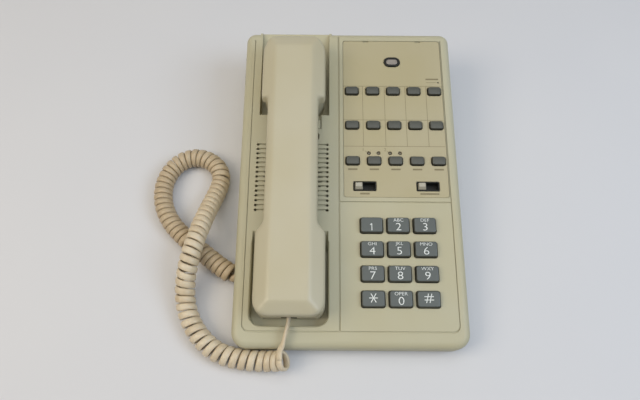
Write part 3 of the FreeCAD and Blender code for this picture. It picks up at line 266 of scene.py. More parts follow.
def vinyl_jacket(name, colour, dirt, shaded_colour, shade_from, shade_to):
    """Soft vinyl with a UV map in millimetres along its cable: shade is painted in between two
    lengths.
    """
    material, tree, shader = new_material(name)
    along = add_node(tree, "ShaderNodeUVMap", uv_map="cable").outputs["UV"]
    bloom = add_node(tree, "ShaderNodeTexNoise",
                     {"Vector": along, "Scale": 1 / bloom_size, "Detail": 3.0})
    bloom_ramp = add_node(tree, "ShaderNodeMapRange",
                          {"Value": bloom.outputs["Fac"], "From Min": 0.42, "From Max": 0.72})
    clean = add_node(tree, "ShaderNodeMix",
                     {0: bloom_ramp.outputs["Result"], 6: srgb(colour), 7: srgb(dirt)},
                     data_type="RGBA")
    length = add_node(tree, "ShaderNodeSeparateXYZ", {"Vector": along}).outputs["Y"]
    # Painted shade: the colour darkens between two lengths along the cable.
    shade_share = add_node(tree, "ShaderNodeMapRange",
                   {"Value": length, "From Min": shade_from, "From Max": shade_to})
    tint = add_node(tree, "ShaderNodeMix",
                    {0: shade_share.outputs["Result"], 6: clean.outputs[2], 7: srgb(shaded_colour)},
                    data_type="RGBA")
    ripple = add_node(tree, "ShaderNodeTexNoise",
                      {"Vector": along, "Scale": 1 / ripple_size, "Detail": 2.0})
    shine = add_node(tree, "ShaderNodeMapRange",
                     {"Value": ripple.outputs["Fac"], "To Min": 0.36, "To Max": 0.52})
    bump = add_node(tree, "ShaderNodeBump",
                    {"Height": ripple.outputs["Fac"], "Distance": ripple_depth * mm})
    fill(shader, {"Base Color": tint.outputs[2], "Roughness": shine.outputs["Result"],
                  "Normal": bump.outputs["Normal"], "IOR": vinyl_ior,
                  "Subsurface Weight": 0.12, "Subsurface Scale": 1.0,
                  "Subsurface Radius": (1.2 * mm, 0.9 * mm, 0.6 * mm)})
    return material


def speckled(name, colour, other, size, roughness, uniform=None, detail=4.0,
             blend=(0.35, 0.65), spread=0.08, depth=0.01, soft_edge=0.15):
    """A finish with specks of a second colour. They may vary its roughness and stand in relief.

    Size, depth and soft edge are in millimetres, and uniform holds plain values for the shader.
    """
    material, tree, shader = new_material(name)
    place = add_node(tree, "ShaderNodeTexCoord").outputs["Object"]
    speck = add_node(tree, "ShaderNodeTexNoise",
                     {"Vector": place, "Scale": per_mm(size), "Detail": detail}).outputs["Fac"]
    ramp = add_node(tree, "ShaderNodeMapRange",
                    {"Value": speck, "From Min": blend[0], "From Max": blend[1]})
    tint = add_node(tree, "ShaderNodeMix",
                    {0: ramp.outputs["Result"], 6: srgb(colour), 7: srgb(other)},
                    data_type="RGBA")
    fill(shader, {"Base Color": tint.outputs[2], "Roughness": roughness, **(uniform or {})})
    if spread:
        shine = add_node(tree, "ShaderNodeMapRange",
                         {"Value": speck, "To Min": roughness - spread,
                          "To Max": roughness + spread})
        fill(shader, {"Roughness": shine.outputs["Result"]})
    if depth:
        bump = add_node(tree, "ShaderNodeBump", {"Height": speck, "Distance": depth * mm})
        fill(shader, {"Normal": bump.outputs["Normal"]})
        if soft_edge:
            edge = add_node(tree, "ShaderNodeBevel", {"Radius": soft_edge * mm}, samples=4)
            fill(bump, {"Normal": edge.outputs["Normal"]})
    return material


def clear_moulding(name, colour, roughness):
    """Clear polycarbonate, with faint flow marks in its gloss."""
    material, tree, shader = new_material(name)
    place = add_node(tree, "ShaderNodeTexCoord").outputs["Object"]
    flow = add_node(tree, "ShaderNodeTexNoise",
                    {"Vector": place, "Scale": per_mm(flow_size), "Distortion": 1.5})
    shine = add_node(tree, "ShaderNodeMapRange",
                     {"Value": flow.outputs["Fac"],
                      "To Min": roughness, "To Max": roughness + 0.12})
    fill(shader, {"Base Color": srgb(colour), "Roughness": shine.outputs["Result"],
                  "Transmission Weight": 0.85, "IOR": polycarbonate_ior})
    return material


# Vinyl jacket, peach beige, a little dirty, with shade painted on the loop that lies on the table.
cord_vinyl = vinyl_jacket("vinyl_cord_jacket", "#D3C5AA", "#C4B293", "#B6A384", 900, 1900)
# Black nitrile rubber of the feet: matt, with dust in its grain.
foot_rubber = speckled("black_rubber_feet", "#232322", "#34332F", 1.2, 0.80, depth=0.03)
# Silicone of the key mat: milky grey and matt.
mat_silicone = speckled("grey_silicone_mat", "#C3C3BE", "#B4B4AE", 4.0, 0.60)
# Zinc-plated steel: a grey metal with crystals a millimetre or so across.
zinc_steel = speckled("zinc_plated_steel", "#B9B9B4", "#9FA09C", 1.5, 0.38, {"Metallic": 1.0})
# Phenolic paper laminate of the boards: brown, slightly mottled.
board_laminate = speckled("phenolic_board_laminate", "#8A6A34", "#7B5C2B", 2.5, 0.45)
# Pressed paper of the speaker's cone: dark, matt and fibrous.
cone_paper = speckled("pressed_paper_cone", "#2A2927", "#3A3833", 0.9, 0.90, depth=0.06)
# Grey-beige ABS of the sockets, seen only from behind and below.
socket_abs = moulded_plastic("grey_beige_abs_sockets", "#A39E88", "#9A947C", 0.48)
# Clear polycarbonate of the plugs.
plug_clear = clear_moulding("clear_polycarbonate_plugs", "#E6E6DF", 0.06)
# Milky polycarbonate of the message lamp, unlit: pinkish grey, glossy and a little see-through.
milky = {"IOR": polycarbonate_ior, "Subsurface Weight": 0.3, "Subsurface Scale": 1.0,
         "Subsurface Radius": (0.9 * mm, 0.8 * mm, 0.7 * mm)}
lamp_lens = speckled("milky_polycarbonate_lens", "#968F86", "#877F78", 2.5, 0.22, milky,
                     detail=2.0, blend=(0, 1), spread=0, depth=0.02, soft_edge=0)
# Smoked polycarbonate of the four line lamps, unlit: greyish brown.
line_lens = speckled("smoked_polycarbonate_lamps", "#6E6653", "#5A5344", 0.9, 0.25)
print("finishes made:", len(bpy.data.materials))

# %% [markdown]
# ## Finishes for the mechanical pieces
# The pieces of the frame whose shape is already right keep it and only take a finish. A piece is
# never moved here: its material slots are all that changes. The handset's front shell takes two,
# because shade is painted in black ABS on the faces of the recess round its plug.

# %% Paint the mechanical pieces
def paint(piece, material):
    """Gives a piece one finish all over."""
    piece.data.materials.clear()
    piece.data.materials.append(material)


pieces_of_finish = (
    (housing_abs, "top_housing base_pan handset_retainer hook_plunger"),
    (plate_abs, "memory_faceplate"),
    (handset_abs, "handset_back_shell handset_front_shell"),
    (black_abs, "message_lamp_bezel slide_switch_bodies hook_switch receiver_capsule"),
    (black_abs, "microphone_capsule handset_end_jack"),
    (knob_abs, "left_slide_knob right_slide_knob"),
    (socket_abs, "line_jacks handset_cord_jack"),
    (zinc_steel, "case_screws speaker_frame hands_free_microphone line_transformers"),
    (zinc_steel, "handset_weight"),
    (plug_clear, "handset_plug base_plug"),
    (board_laminate, "key_board main_board"),
    (foot_rubber, "rubber_feet"), (mat_silicone, "key_contact_mat"),
    (cone_paper, "speaker_cone"), (lamp_lens, "message_lamp_lens"), (line_lens, "line_lamps"),
)
finish_of = {name: finish for finish, names in pieces_of_finish for name in names.split()}
for name, piece in nodes.items():
    paint(piece, finish_of.get(name, key_abs))
print("painted", len(nodes), "pieces of the frame")

# %% Paint shade in black on the recess round the handset's plug
recess_low, recess_high = Vector((-48.0, 5.0, 0.0)), Vector((-36.4, 14.1, 5.5))
mouth_shell = nodes["handset_front_shell"].data
# Black ABS in a second slot, as painted shade on the faces inside the recess.
mouth_shell.materials.append(black_abs)
shade_slot, shaded = 1, 0
for polygon in mouth_shell.polygons:
    middle = (to_face @ polygon.center) / mm
    if all(low < c < high for low, c, high in zip(recess_low, middle, recess_high)):
        polygon.material_index = shade_slot
        shaded += 1
print("faces lined in black:", shaded)

# %% [markdown]
# ## The studio
# A pale table, a large softbox straight above the set and a smaller one on each side: the left one
# warm as a room lamp, the right one cool as a window. The two sides shape the handset, whose
# bevels would look alike under one lamp, and the soft light from above leaves a gentle shadow in
# every gap. Together they are set so that a level surface shows about the colour it was given. The
# room's own light is even, and only the camera and clear or shiny things see it as pale. Far from
# the set the table fades to that same pale tone, as a roll of paper does that is curved up behind
# an object.

# %% Floor, lamps and room light
floor_half, fade_start, fade_end, cloud_size = 3.0, 0.5, 1.8, 180
backdrop_tone, backdrop_strength = "#E4E4E6", 0.85


def seen_directly(tree):
    """A socket that is 1 where the camera, a reflection or clear plastic looks, or else 0."""
    path = add_node(tree, "ShaderNodeLightPath")
    seen = path.outputs["Is Camera Ray"]
    for ray in ("Is Glossy Ray", "Is Transmission Ray"):
        seen = add_node(tree, "ShaderNodeMath", {0: seen, 1: path.outputs[ray]},
                        operation="MAXIMUM").outputs[0]
    return seen


bpy.ops.object.select_all(action="DESELECT")
bpy.ops.mesh.primitive_plane_add(size=2 * floor_half, location=(0, 0, 0))
floor = bpy.context.object
floor.name = "table_top"
table_paper, tree, shader = new_material("white_paper_table")
place = add_node(tree, "ShaderNodeTexCoord").outputs["Object"]
cloud = add_node(tree, "ShaderNodeTexNoise",
                 {"Vector": place, "Scale": per_mm(cloud_size), "Detail": 2.0})
tone = add_node(tree, "ShaderNodeMix",
                {0: cloud.outputs["Fac"], 6: srgb("#D8D8D9"), 7: srgb("#D2D3D6")}, data_type="RGBA")
fill(shader, {"Base Color": tone.outputs[2], "Roughness": 0.9, "Specular IOR Level": 0.2})
far = add_node(tree, "ShaderNodeVectorMath", {0: place}, operation="LENGTH")
fade = add_node(tree, "ShaderNodeMapRange",
                {"Value": far.outputs["Value"], "From Min": fade_start, "From Max": fade_end},
                interpolation_type="SMOOTHSTEP")
faded = add_node(tree, "ShaderNodeMath",
                 {0: fade.outputs["Result"], 1: seen_directly(tree)}, operation="MULTIPLY")
paper_glow = add_node(tree, "ShaderNodeEmission",
                      {"Color": srgb(backdrop_tone), "Strength": backdrop_strength})
blend = add_node(tree, "ShaderNodeMixShader",
                 {0: faded.outputs[0], 1: shader.outputs["BSDF"],
                  2: paper_glow.outputs["Emission"]})
fill(tree.nodes["Material Output"], {"Surface": blend.outputs["Shader"]})
paint(floor, table_paper)


def softbox(name, place, size, watts, colour):
    """A square area lamp that faces the middle of the set."""
    lamp = bpy.data.objects.new(name, bpy.data.lights.new(name, "AREA"))
    lamp.data.size = size
    lamp.data.energy = watts
    lamp.data.color = srgb(colour)[:3]
    lamp.location = place
    lamp.rotation_euler = (-Vector(place)).to_track_quat("-Z", "Y").to_euler()
    bpy.context.scene.collection.objects.link(lamp)


softbox("overhead_softbox", (0.0, 0.02, 1.15), 1.0, 4.2, "#FFFDF8")
softbox("warm_lamp", (-0.80, -0.25, 0.90), 0.6, 5.9, "#FFF1DC")
softbox("cool_window", (0.80, -0.25, 0.90), 0.6, 6.3, "#DAEAFF")

world = bpy.data.worlds.new("studio")
bpy.context.scene.world = world
world.use_nodes = True
tree = world.node_tree
tree.nodes.clear()
room = add_node(tree, "ShaderNodeBackground", {"Color": srgb("#F2F3F5"), "Strength": 0.24})
backdrop = add_node(tree, "ShaderNodeBackground",
                    {"Color": srgb(backdrop_tone), "Strength": backdrop_strength})
both = add_node(tree, "ShaderNodeMixShader",
                {0: seen_directly(tree), 1: room.outputs["Background"],
                 2: backdrop.outputs["Background"]})
add_node(tree, "ShaderNodeOutputWorld", {"Surface": both.outputs["Shader"]})
bpy.context.scene.view_settings.view_transform = "Standard"

# %% [markdown]
# ## The cord
# The cord is one flat cable of about 2.7 m with four wires side by side. Most of it was wound on a
# rod while hot, so it keeps its curls, and only its two ends are straight. Here it follows given
# routes that the mechanical model shares but for a few points near the handset: a NURBS spline of
# order three runs smoothly past the points. Nothing is made of the spline itself, its line is read
# and the cable is swept along it. The order and the end points are set after the points are there,
# because a spline without points forgets them.

# %% Routes of the cord, in millimetres
handset_x = -41.7
end_jack_shift = -0.5
plug_back = (handset_x + end_jack_shift, 11.0, 3.0)
coil_route = [
    (-44.6, -133.8, 14.6), (-52.4, -133.5, 8.8), (-67.0, -133.2, 7.4), (-83.0, -131.0, 7.4),
    (-95.2, -125.8, 7.4), (-105.6, -116.4, 7.4), (-113.2, -105.0, 7.4), (-117.4, -93.0, 8.6),
    (-118.1, -81.1, 13.4), (-116.1, -70.5, 20.2), (-113.7, -59.6, 23.8), (-111.0, -47.2, 23.8),
    (-108.0, -30.7, 18.8), (-104.4, -13.0, 11.6), (-100.8, 1.4, 7.4), (-100.0, 11.3, 7.4),
    (-105.8, 22.3, 7.4), (-119.4, 28.8, 7.4), (-132.0, 25.8, 7.4), (-141.0, 16.5, 7.4),
    (-145.3, 2.8, 7.4), (-144.4, -10.4, 7.4), (-140.6, -21.6, 7.4), (-133.9, -32.1, 7.4),
    (-125.3, -40.8, 7.4), (-117.0, -47.8, 7.4), (-107.1, -55.6, 7.4), (-97.7, -63.0, 7.4),
    (-87.5, -70.0, 7.3), (-80.0, -72.5, 6.6), (-74.5, -72.5, 6.6),
]
lead_over_face = [
    plug_back, (-42.2, 6.2, 3.0), (-43.3, 1.4, 4.6), (-44.7, -4.4, 5.2), (-46.0, -9.8, 3.2),
]
lead_last_run = 3.0


def guided_line(name, points, steps):
    """The smooth line that given points guide, as close points, all in millimetres."""
    curve = bpy.data.curves.new(name, "CURVE")
    curve.dimensions = "3D"
    curve.resolution_u = steps
    spline = curve.splines.new("NURBS")
    spline.points.add(len(points) - 1)
    for guide, point in zip(spline.points, points):
        guide.co = (*point, 1.0)
    spline.order_u = 3
    spline.use_endpoint_u = True
    holder = bpy.data.objects.new(name, curve)
    mesh = bpy.data.meshes.new_from_object(holder)
    line = [v.co.copy() for v in mesh.vertices]
    bpy.data.objects.remove(holder)
    bpy.data.curves.remove(curve)
    bpy.data.meshes.remove(mesh)
    return line


axis_line = guided_line("coil_axis", coil_route, 24)
print("coil axis:", len(axis_line), "points")

# %% [markdown]
# The curls are a helix round that line. Two directions square to the line are carried along it
# without twisting, the angle grows by a full turn for every pitch, and the pitch is a little wider
# near the handset, where such a cord is always stretched. At the base end the curls ease out into
# the straight tail that runs into its plug.

# %% The helix
coil_reach = 5.95
open_pitch, middle_pitch, closed_pitch, tail_pitch = 6.0, 5.0, 4.7, 14.0
open_length, middle_length, pitch_change = 100.0, 230.0, 40.0
tail_length, tail_straight = 9.5, 4.0
coil_start_angle = 100.0
steps_per_turn = 30


def ease(x):
    """From 0 to 1, level at both ends."""
    x = min(max(x, 0.0), 1.0)
    return x * x * (3 - 2 * x)


def lengths_along(line):
    """How far each point lies from the start of its line."""
    lengths = [0.0]
    for a, b in zip(line, line[1:]):
        lengths.append(lengths[-1] + (b - a).length)
    return lengths


def headings_along(line):
    """The direction of travel at each point of a line."""
    last = len(line) - 1
    return [(line[min(i + 1, last)] - line[max(i - 1, 0)]).normalized() for i in range(last + 1)]


def coil_pitch(at, whole):
    """How far the coil goes on in one turn, at a length along its axis."""
    pitch = open_pitch + (middle_pitch - open_pitch) * ease((at - open_length) / pitch_change)
    pitch += (closed_pitch - middle_pitch) * ease((at - middle_length) / pitch_change)
    tail_start = whole - tail_straight - tail_length
    return pitch + (tail_pitch - pitch) * ease((at - tail_start) / tail_length)


def wound(line):
    """The helix round a line: for each step its place and the heading of the axis."""
    lengths, headings = lengths_along(line), headings_along(line)
    whole = lengths[-1]
    across = [headings[0].cross(Vector((0, 0, 1))).normalized()]
    turns = [math.radians(coil_start_angle)]
    for i in range(1, len(line)):
        side = across[-1]
        across.append((side - headings[i] * side.dot(headings[i])).normalized())
        step = lengths[i] - lengths[i - 1]
        turns.append(turns[-1] + math.tau * step / coil_pitch(lengths[i] - step / 2, whole))
    count = round((turns[-1] - turns[0]) / math.tau * steps_per_turn)
    places, ways_on, i = [], [], 0
    for k in range(count + 1):
        angle = turns[0] + (turns[-1] - turns[0]) * k / count
        while i < len(turns) - 2 and turns[i + 1] < angle:
            i += 1
        t = (angle - turns[i]) / (turns[i + 1] - turns[i])
        on = headings[i].lerp(headings[i + 1], t).normalized()
        side = across[i].lerp(across[i + 1], t)
        side = (side - on * side.dot(on)).normalized()
        out = side * math.cos(angle) + side.cross(on) * math.sin(angle)
        left = whole - lengths[i] - t * (lengths[i + 1] - lengths[i])
        reach = coil_reach * ease((left - tail_straight) / tail_length)
        places.append(line[i].lerp(line[i + 1], t) + out * reach)
        ways_on.append(on)
    return places, ways_on


curls, curls_on = wound(axis_line)
print("curls:", round(len(curls) / steps_per_turn, 1), "turns,",
      round(lengths_along(curls)[-1]), "mm of cable")

# %% [markdown]
# The cable is an oval, about 5.0 mm wide and 2.6 mm thick, and its wide side lies along the coil's
# axis. That is why the curls look like broad bands with thin dark gaps. Inside a bend the curls
# come closer than they are wide and press on each other, so there each one is narrowed to what
# its neighbours leave. Each ring of the sweep is turned to the cable's own direction, and the UV
# map counts millimetres round and along it.

# %% Sweep a flat cable
cable_width = 5.0
cable_thickness = 2.55
cable_sides = 14
oval_power = 2.5
oval_girth = 0.9  # as a share of the girth of a box round it


def flat_cable(name, line, wide_ways, widths, thicknesses):
    """A closed oval tube along a line: wide_ways point across its broad side at each point."""
    ways = headings_along(line)
    lengths = lengths_along(line)
    corners, faces = [], []
    for place, way, wide, width, thick in zip(line, ways, wide_ways, widths, thicknesses):
        wide = (wide - way * wide.dot(way)).normalized()
        thin = way.cross(wide)
        for k in range(cable_sides):
            turn = math.tau * k / cable_sides
            c, s = math.cos(turn), math.sin(turn)
            x = math.copysign(abs(c) ** (2 / oval_power), c) * width / 2
            y = math.copysign(abs(s) ** (2 / oval_power), s) * thick / 2
            corners.append((place + wide * x + thin * y) * mm)
    for i in range(len(line) - 1):
        for k in range(cable_sides):
            n = (k + 1) % cable_sides
            a, b = i * cable_sides, (i + 1) * cable_sides
            faces.append((a + k, a + n, b + n, b + k))
    last = (len(line) - 1) * cable_sides
    faces.append(tuple(reversed(range(cable_sides))))
    faces.append(tuple(last + k for k in range(cable_sides)))
    mesh = bpy.data.meshes.new(name)
    mesh.from_pydata(corners, [], faces)
    around = 2 * (cable_width + cable_thickness) / cable_sides * oval_girth
    layer = mesh.uv_layers.new(name="cable")
    for f, polygon in enumerate(mesh.polygons):
        i, k = divmod(f, cable_sides)
        steps = ((k, i), (k + 1, i), (k + 1, i + 1), (k, i + 1)) if i < len(line) - 1 else None
        for j, loop in enumerate(polygon.loop_indices):
            u, v = steps[j] if steps else (j, 0 if k == 0 else len(line) - 1)
            layer.data[loop].uv = (u * around, lengths[v])
    cable = bpy.data.objects.new(name, mesh)
    bpy.context.scene.collection.objects.link(cable)
    mesh.shade_smooth()
    for cap in mesh.polygons[-2:]:
        cap.use_smooth = False
    paint(cable, cord_vinyl)
    return cable


# %% The curly cord's widths
round_size, rounding_run, fill_of_gap = 2.7, 20.0, 0.93


def room_for_turn(places, i):
    """The gap between a curl and its nearest neighbour curl, at one step of the helix."""
    neighbours = (i - steps_per_turn, i + steps_per_turn)
    return min((places[j] - places[i]).length for j in neighbours if 0 <= j < len(places))


base_plug_back = Vector((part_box("base_plug")[0].x / mm, coil_route[-1][1], coil_route[-1][2]))
curls += [curls[-1].lerp(base_plug_back, t) for t in (0.5, 1.0)]
curls_on += [curls_on[-1]] * 2
cable_lengths = lengths_along(curls)
widths, thicknesses = [], []
for i in range(len(curls)):
    flat = ease((cable_lengths[-1] - cable_lengths[i]) / rounding_run)
    room = min(cable_width, room_for_turn(curls, i) * fill_of_gap)
    widths.append(round_size + (room - round_size) * flat)
    thicknesses.append(round_size + (cable_thickness - round_size) * flat)
print("cable widths:", round(min(widths), 2), "to", round(max(widths), 2), "mm")

# %% [markdown]
# The straight end runs from the clear plug in the handset over the front edge of the set and dips
# to the first curl. It starts edge on to the plug and twists by the time it meets the curls, so
# its broad side is carried back from the coil without a twist and then turned a little at each
# step. Both stretches share the ring where they meet.

# %% The lead and the coil
lead_width, lead_thickness, lead_twist = 3.3, 2.45, math.radians(90)
coil_start_way = (curls[1] - curls[0]).normalized()
lead_end = curls[0] - coil_start_way * round_size
lead_route = [on_face(*point) / mm for point in lead_over_face]
lead_route += [lead_end - coil_start_way * lead_last_run, lead_end]
lead_line = guided_line("lead_line", lead_route, 12)
lead_line += [lead_end.lerp(curls[0], t) for t in (0.5, 1.0)]
lead_ways = headings_along(lead_line)
lead_wide = [curls_on[0]]
for way in reversed(lead_ways[:-1]):
    side = lead_wide[0]
    lead_wide.insert(0, (side - way * side.dot(way)).normalized())
lead_lengths = lengths_along(lead_line)
lead_widths = []
for i, way in enumerate(lead_ways):
    to_coil = ease(lead_lengths[i] / lead_lengths[-1])
    lead_wide[i] = lead_wide[i].copy()
    lead_wide[i].rotate(Quaternion(way, lead_twist * (1 - to_coil)))
    lead_widths.append(lead_width + (widths[0] - lead_width) * to_coil)
lead = flat_cable("straight_cord", lead_line, lead_wide, lead_widths,
                  [lead_thickness] * len(lead_line))
coil = flat_cable("coiled_cord", curls, curls_on, widths, thicknesses)
print("lead:", round(lead_lengths[-1]), "mm; coil:", round(cable_lengths[-1]), "mm of cable")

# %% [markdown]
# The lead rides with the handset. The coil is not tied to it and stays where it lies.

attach(lead, "handset")
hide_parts("handset_lead")
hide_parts("curly_cord")
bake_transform(coil)

# %% [markdown]
# ## The keys
# Each key is a hollow cap of grey ABS: a skirt that slides in its hole, a flange under the face
# that keeps it in, and a top with soft edges. The mechanical key has that shape already, but its
# edges are cut for motion and not for looks. So one key of each size is modelled here as it would
# be by hand: a flat sheet gets round corners, is drawn upwards level by level, and is hollowed from
# below. A stack of levels was chosen over a rounded box, because each edge then gets its own
# radius.

# %% Tools for modelling on the face
near, smooth_below = 0.01, 30


def new_sheet(name):
    """A flat unit sheet about the origin, open in edit mode with all of it selected."""
    bpy.ops.object.select_all(action="DESELECT")
    bpy.ops.mesh.primitive_plane_add(size=1, location=(0, 0, 0))
    piece = bpy.context.object
    piece.name = name
    bpy.ops.object.mode_set(mode="EDIT")
    bpy.ops.mesh.select_all(action="SELECT")
    return piece


def sized_sheet(name, size, middle_v, height):
    """A sheet that wide and long in millimetres, about a place up the slope and at a height."""
    piece = new_sheet(name)
    bpy.ops.transform.resize(value=(size[0] * mm, size[1] * mm, 1), center_override=(0, 0, 0))
    bpy.ops.transform.translate(value=(0, middle_v * mm, height * mm))
    return piece


def extrude(x, y, z):
    """Draws what is selected out by so many millimetres."""
    bpy.ops.mesh.extrude_region_move(TRANSFORM_OT_translate={"value": (x * mm, y * mm, z * mm)})


def next_level(rise, old, new):
    """Draws the selected face up by a rise and from its old size to a new one."""
    extrude(0, 0, rise)
    bpy.ops.transform.resize(value=(new[0] / old[0], new[1] / old[1], 1), center_override=(0, 0, 0))


def pick(piece, kind, wanted):
    """Selects the verts, edges or faces of an open mesh that pass a test, and no others."""
    bpy.ops.mesh.select_all(action="DESELECT")
    shape = bmesh.from_edit_mesh(piece.data)
    for part in getattr(shape, kind):
        if wanted(part):
            part.select_set(True)
    shape.select_flush(True)
    bmesh.update_edit_mesh(piece.data)


def face_outwards():
    """Selects the whole open mesh and points its faces outwards."""
    bpy.ops.mesh.select_all(action="SELECT")
    bpy.ops.mesh.normals_make_consistent(inside=False)


def close_edit():
    """Leaves edit mode and smooths every edge that turns only a little."""
    bpy.ops.object.mode_set(mode="OBJECT")
    bpy.ops.object.shade_smooth_by_angle(angle=math.radians(smooth_below))


# %% How a key is built up
key_corner, key_depth, skirt_wall, top_wall = 1.7, 6.8, 1.2, 2.2
flange_low, flange_high, flange_spread = -3.9, -3.1, 0.7
edge_steps, crown_shares = 5, (0.25, 0.55, 0.8)


def grown(size, by):
    """A width and a length, both grown by so much."""
    return size[0] + by, size[1] + by


def key_model(name, size, top, height, edge, crown, plastic):
    """A key about the origin: skirt, flange, cap with a soft edge, low crown and a hollow below."""
    piece = sized_sheet(name, size, 0, -key_depth)
    bpy.ops.mesh.bevel(offset=key_corner * mm, segments=6, affect="VERTICES")
    flange = grown(size, 2 * flange_spread)
    levels = [(-key_depth, size), (flange_low, size), (flange_low, flange), (flange_high, flange),
              (flange_high, size), (0.0, size), (height - edge, top)]
    for step in range(1, edge_steps + 1):
        turn = math.radians(90 * step / edge_steps)
        level = height - edge + (edge - crown) * math.sin(turn)
        levels.append((level, grown(top, -2 * edge * (1 - math.cos(turn)))))
    for share in crown_shares:
        rest = min(levels[-1][1]) / 2 * share
        levels.append((height - crown * (1 - share) ** 2, grown(top, -2 * edge - 2 * rest)))
    for (low, low_size), (high, high_size) in zip(levels, levels[1:]):
        next_level(high - low, low_size, high_size)
    pick(piece, "faces", lambda part: part.calc_center_median().z < (near - key_depth) * mm)
    bpy.ops.mesh.inset(thickness=skirt_wall * mm)
    extrude(0, 0, key_depth + height - top_wall)
    face_outwards()
    close_edit()
    paint(piece, plastic)
    return piece


# %% Model a dial key and a memory key, and copy them
dial_size, dial_top, dial_height = (16.4, 11.6), (15.4, 10.8), 3.4
small_size, small_top, small_height = (10.2, 6.9), (9.6, 6.3), 2.0
dial_edge, dial_crown, small_edge, small_crown = 0.55, 0.06, 0.60, 0.16
dial_names = ["1", "2", "3", "4", "5", "6", "7", "8", "9", "star", "0", "hash"]
small_names = ([f"memory_key_{i}" for i in range(1, 11)]
               + [f"function_key_{i}" for i in range(1, 6)])
dial_start, dial_pitch = (15.55, 75.0), (19.05, 17.6)
small_start, small_pitch = (2.7, 184.6), (16.1, 29.5)


def grid_place(i, columns, start, pitch):
    """The place on the face of the i-th key of a grid that is counted from its upper left."""
    row, column = divmod(i, columns)
    return start[0] + pitch[0] * column, start[1] - pitch[1] * row


def place_copy(model, name, x, v, slot="key_plastic"):
    """A copy of a model with its own mesh, set down on the face as the key or knob of that name."""
    piece = model.copy()
    piece.data = model.data.copy()
    piece.name = f"{name}_cap"
    bpy.context.scene.collection.objects.link(piece)
    piece.data.transform(face @ Matrix.Translation(Vector((x, v, 0)) * mm))
    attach(piece, name)
    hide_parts(name)
    return piece


dial_model = key_model("dial_key_model", dial_size, dial_top, dial_height,
                       dial_edge, dial_crown, key_abs)
small_model = key_model("small_key_model", small_size, small_top, small_height,
                        small_edge, small_crown, small_key_abs)
dial_places = {name: grid_place(i, 3, dial_start, dial_pitch)
               for i, name in enumerate(dial_names)}
for name, place in dial_places.items():
    dial_key = place_copy(dial_model, f"dial_key_{name}", *place)
for i, name in enumerate(small_names):
    place_copy(small_model, name, *grid_place(i, 5, small_start, small_pitch))
for model in (dial_model, small_model):
    bpy.data.objects.remove(model)
print("keys:", len(dial_names) + len(small_names),
      "faces in a dial key:", len(dial_key.data.polygons))

# %% [markdown]
# ## The slide knobs
# A fingertip pushes a slide switch's knob sideways. Its rear part stands up as a small block, and
# its front slopes down into the slot. It is drawn up level by level like a key, and only its last
# level is also moved back, which makes the slope. Its size and place are read off the mechanical
# knob.

# %% Model a slide knob and copy it
def face_box(name):
    """The low and high corner of a mechanical piece in the face's frame, in millimetres."""
    corners = [(to_face @ corner.co) / mm for corner in nodes[name].data.vertices]
    return [Vector([limit(c[k] for c in corners) for k in range(3)]) for limit in (min, max)]


knob_low, knob_high = face_box("left_slide_knob")
knob_size, knob_top = (knob_high - knob_low)[:2], (4.9, 2.9)
knob_shoulder, knob_shift, knob_edge, knob_corner = 0.2, 0.95, 0.25, 0.5
knob_model = sized_sheet("slide_knob_model", knob_size, 0, knob_low.z)
bpy.ops.mesh.bevel(offset=knob_corner * mm, segments=3, affect="VERTICES")
next_level(knob_shoulder - knob_low.z, knob_size, knob_size)
next_level(knob_high.z - knob_shoulder, knob_size, knob_top)
bpy.ops.transform.translate(value=(0, knob_shift * mm, 0))
bpy.ops.mesh.bevel(offset=knob_edge * mm, segments=3, affect="EDGES")
face_outwards()
close_edit()
paint(knob_model, knob_abs)
for name in ("left_slide_knob", "right_slide_knob"):
    low, high = face_box(name)
    place_copy(knob_model, name, (low.x + high.x) / 2, (low.y + high.y) / 2, slot="knob_plastic")
bpy.data.objects.remove(knob_model)
print("slide knob:", [round(c, 1) for c in knob_size], "mm")

# %% [markdown]
# ## Legends
# The dial's figures and letters were printed in white on the key tops. They are text here, turned
# into thin solids that stand a few hundredths of a millimetre above the plastic, as a screen print
# does. The one, the star and the hash are strokes, because on a telephone they are drawn plainer
# than in a typeface: the one with a short flag, the star with six arms.

# %% Inks and tools for print
rubbed = {"detail": 3.0, "blend": (0.5, 0.75), "spread": 0, "depth": 0}
# White ink on grey keys, matt, its colour thinned in small spots where fingers rub it.
white_ink = speckled("white_screen_ink", "#E4E8E4", "#B9BDB8", 0.8, 0.55, **rubbed)
# Brown ink of the fine print on the inset plate, close to the plate's own colour.
brown_ink = speckled("brown_screen_ink", "#7C7254", "#8D8463", 0.8, 0.55, **rubbed)
ink_height, text_steps, doubles_within = 0.03, 4, 0.001


def lettering(name, text, size, x, v, thinning=0.0, stretch=1.0):
    """A line of text about a point of the face, as a thin solid. It can be thinned and widened."""
    bpy.ops.object.select_all(action="DESELECT")
    bpy.ops.object.text_add(location=(0, 0, 0))
    words = bpy.context.object
    words.name = name
    words.data.body = text
    words.data.size = size * mm
    words.data.offset = -thinning * mm
    words.data.extrude = ink_height * mm
    words.data.resolution_u = text_steps
    bpy.ops.object.convert(target="MESH")
    bpy.ops.object.mode_set(mode="EDIT")
    bpy.ops.mesh.select_all(action="SELECT")
    bpy.ops.mesh.remove_doubles(threshold=doubles_within * mm)
    face_outwards()
    bpy.ops.object.mode_set(mode="OBJECT")
    low = [min(c.co[k] for c in words.data.vertices) for k in (0, 1)]
    high = [max(c.co[k] for c in words.data.vertices) for k in (0, 1)]
    middle = Vector(((low[0] + high[0]) / 2, (low[1] + high[1]) / 2, 0))
    words.data.transform(Matrix.Translation(Vector((x, v, 0)) * mm)
                         @ Matrix.Diagonal((stretch, 1, 1, 1)) @ Matrix.Translation(-middle))
    return words


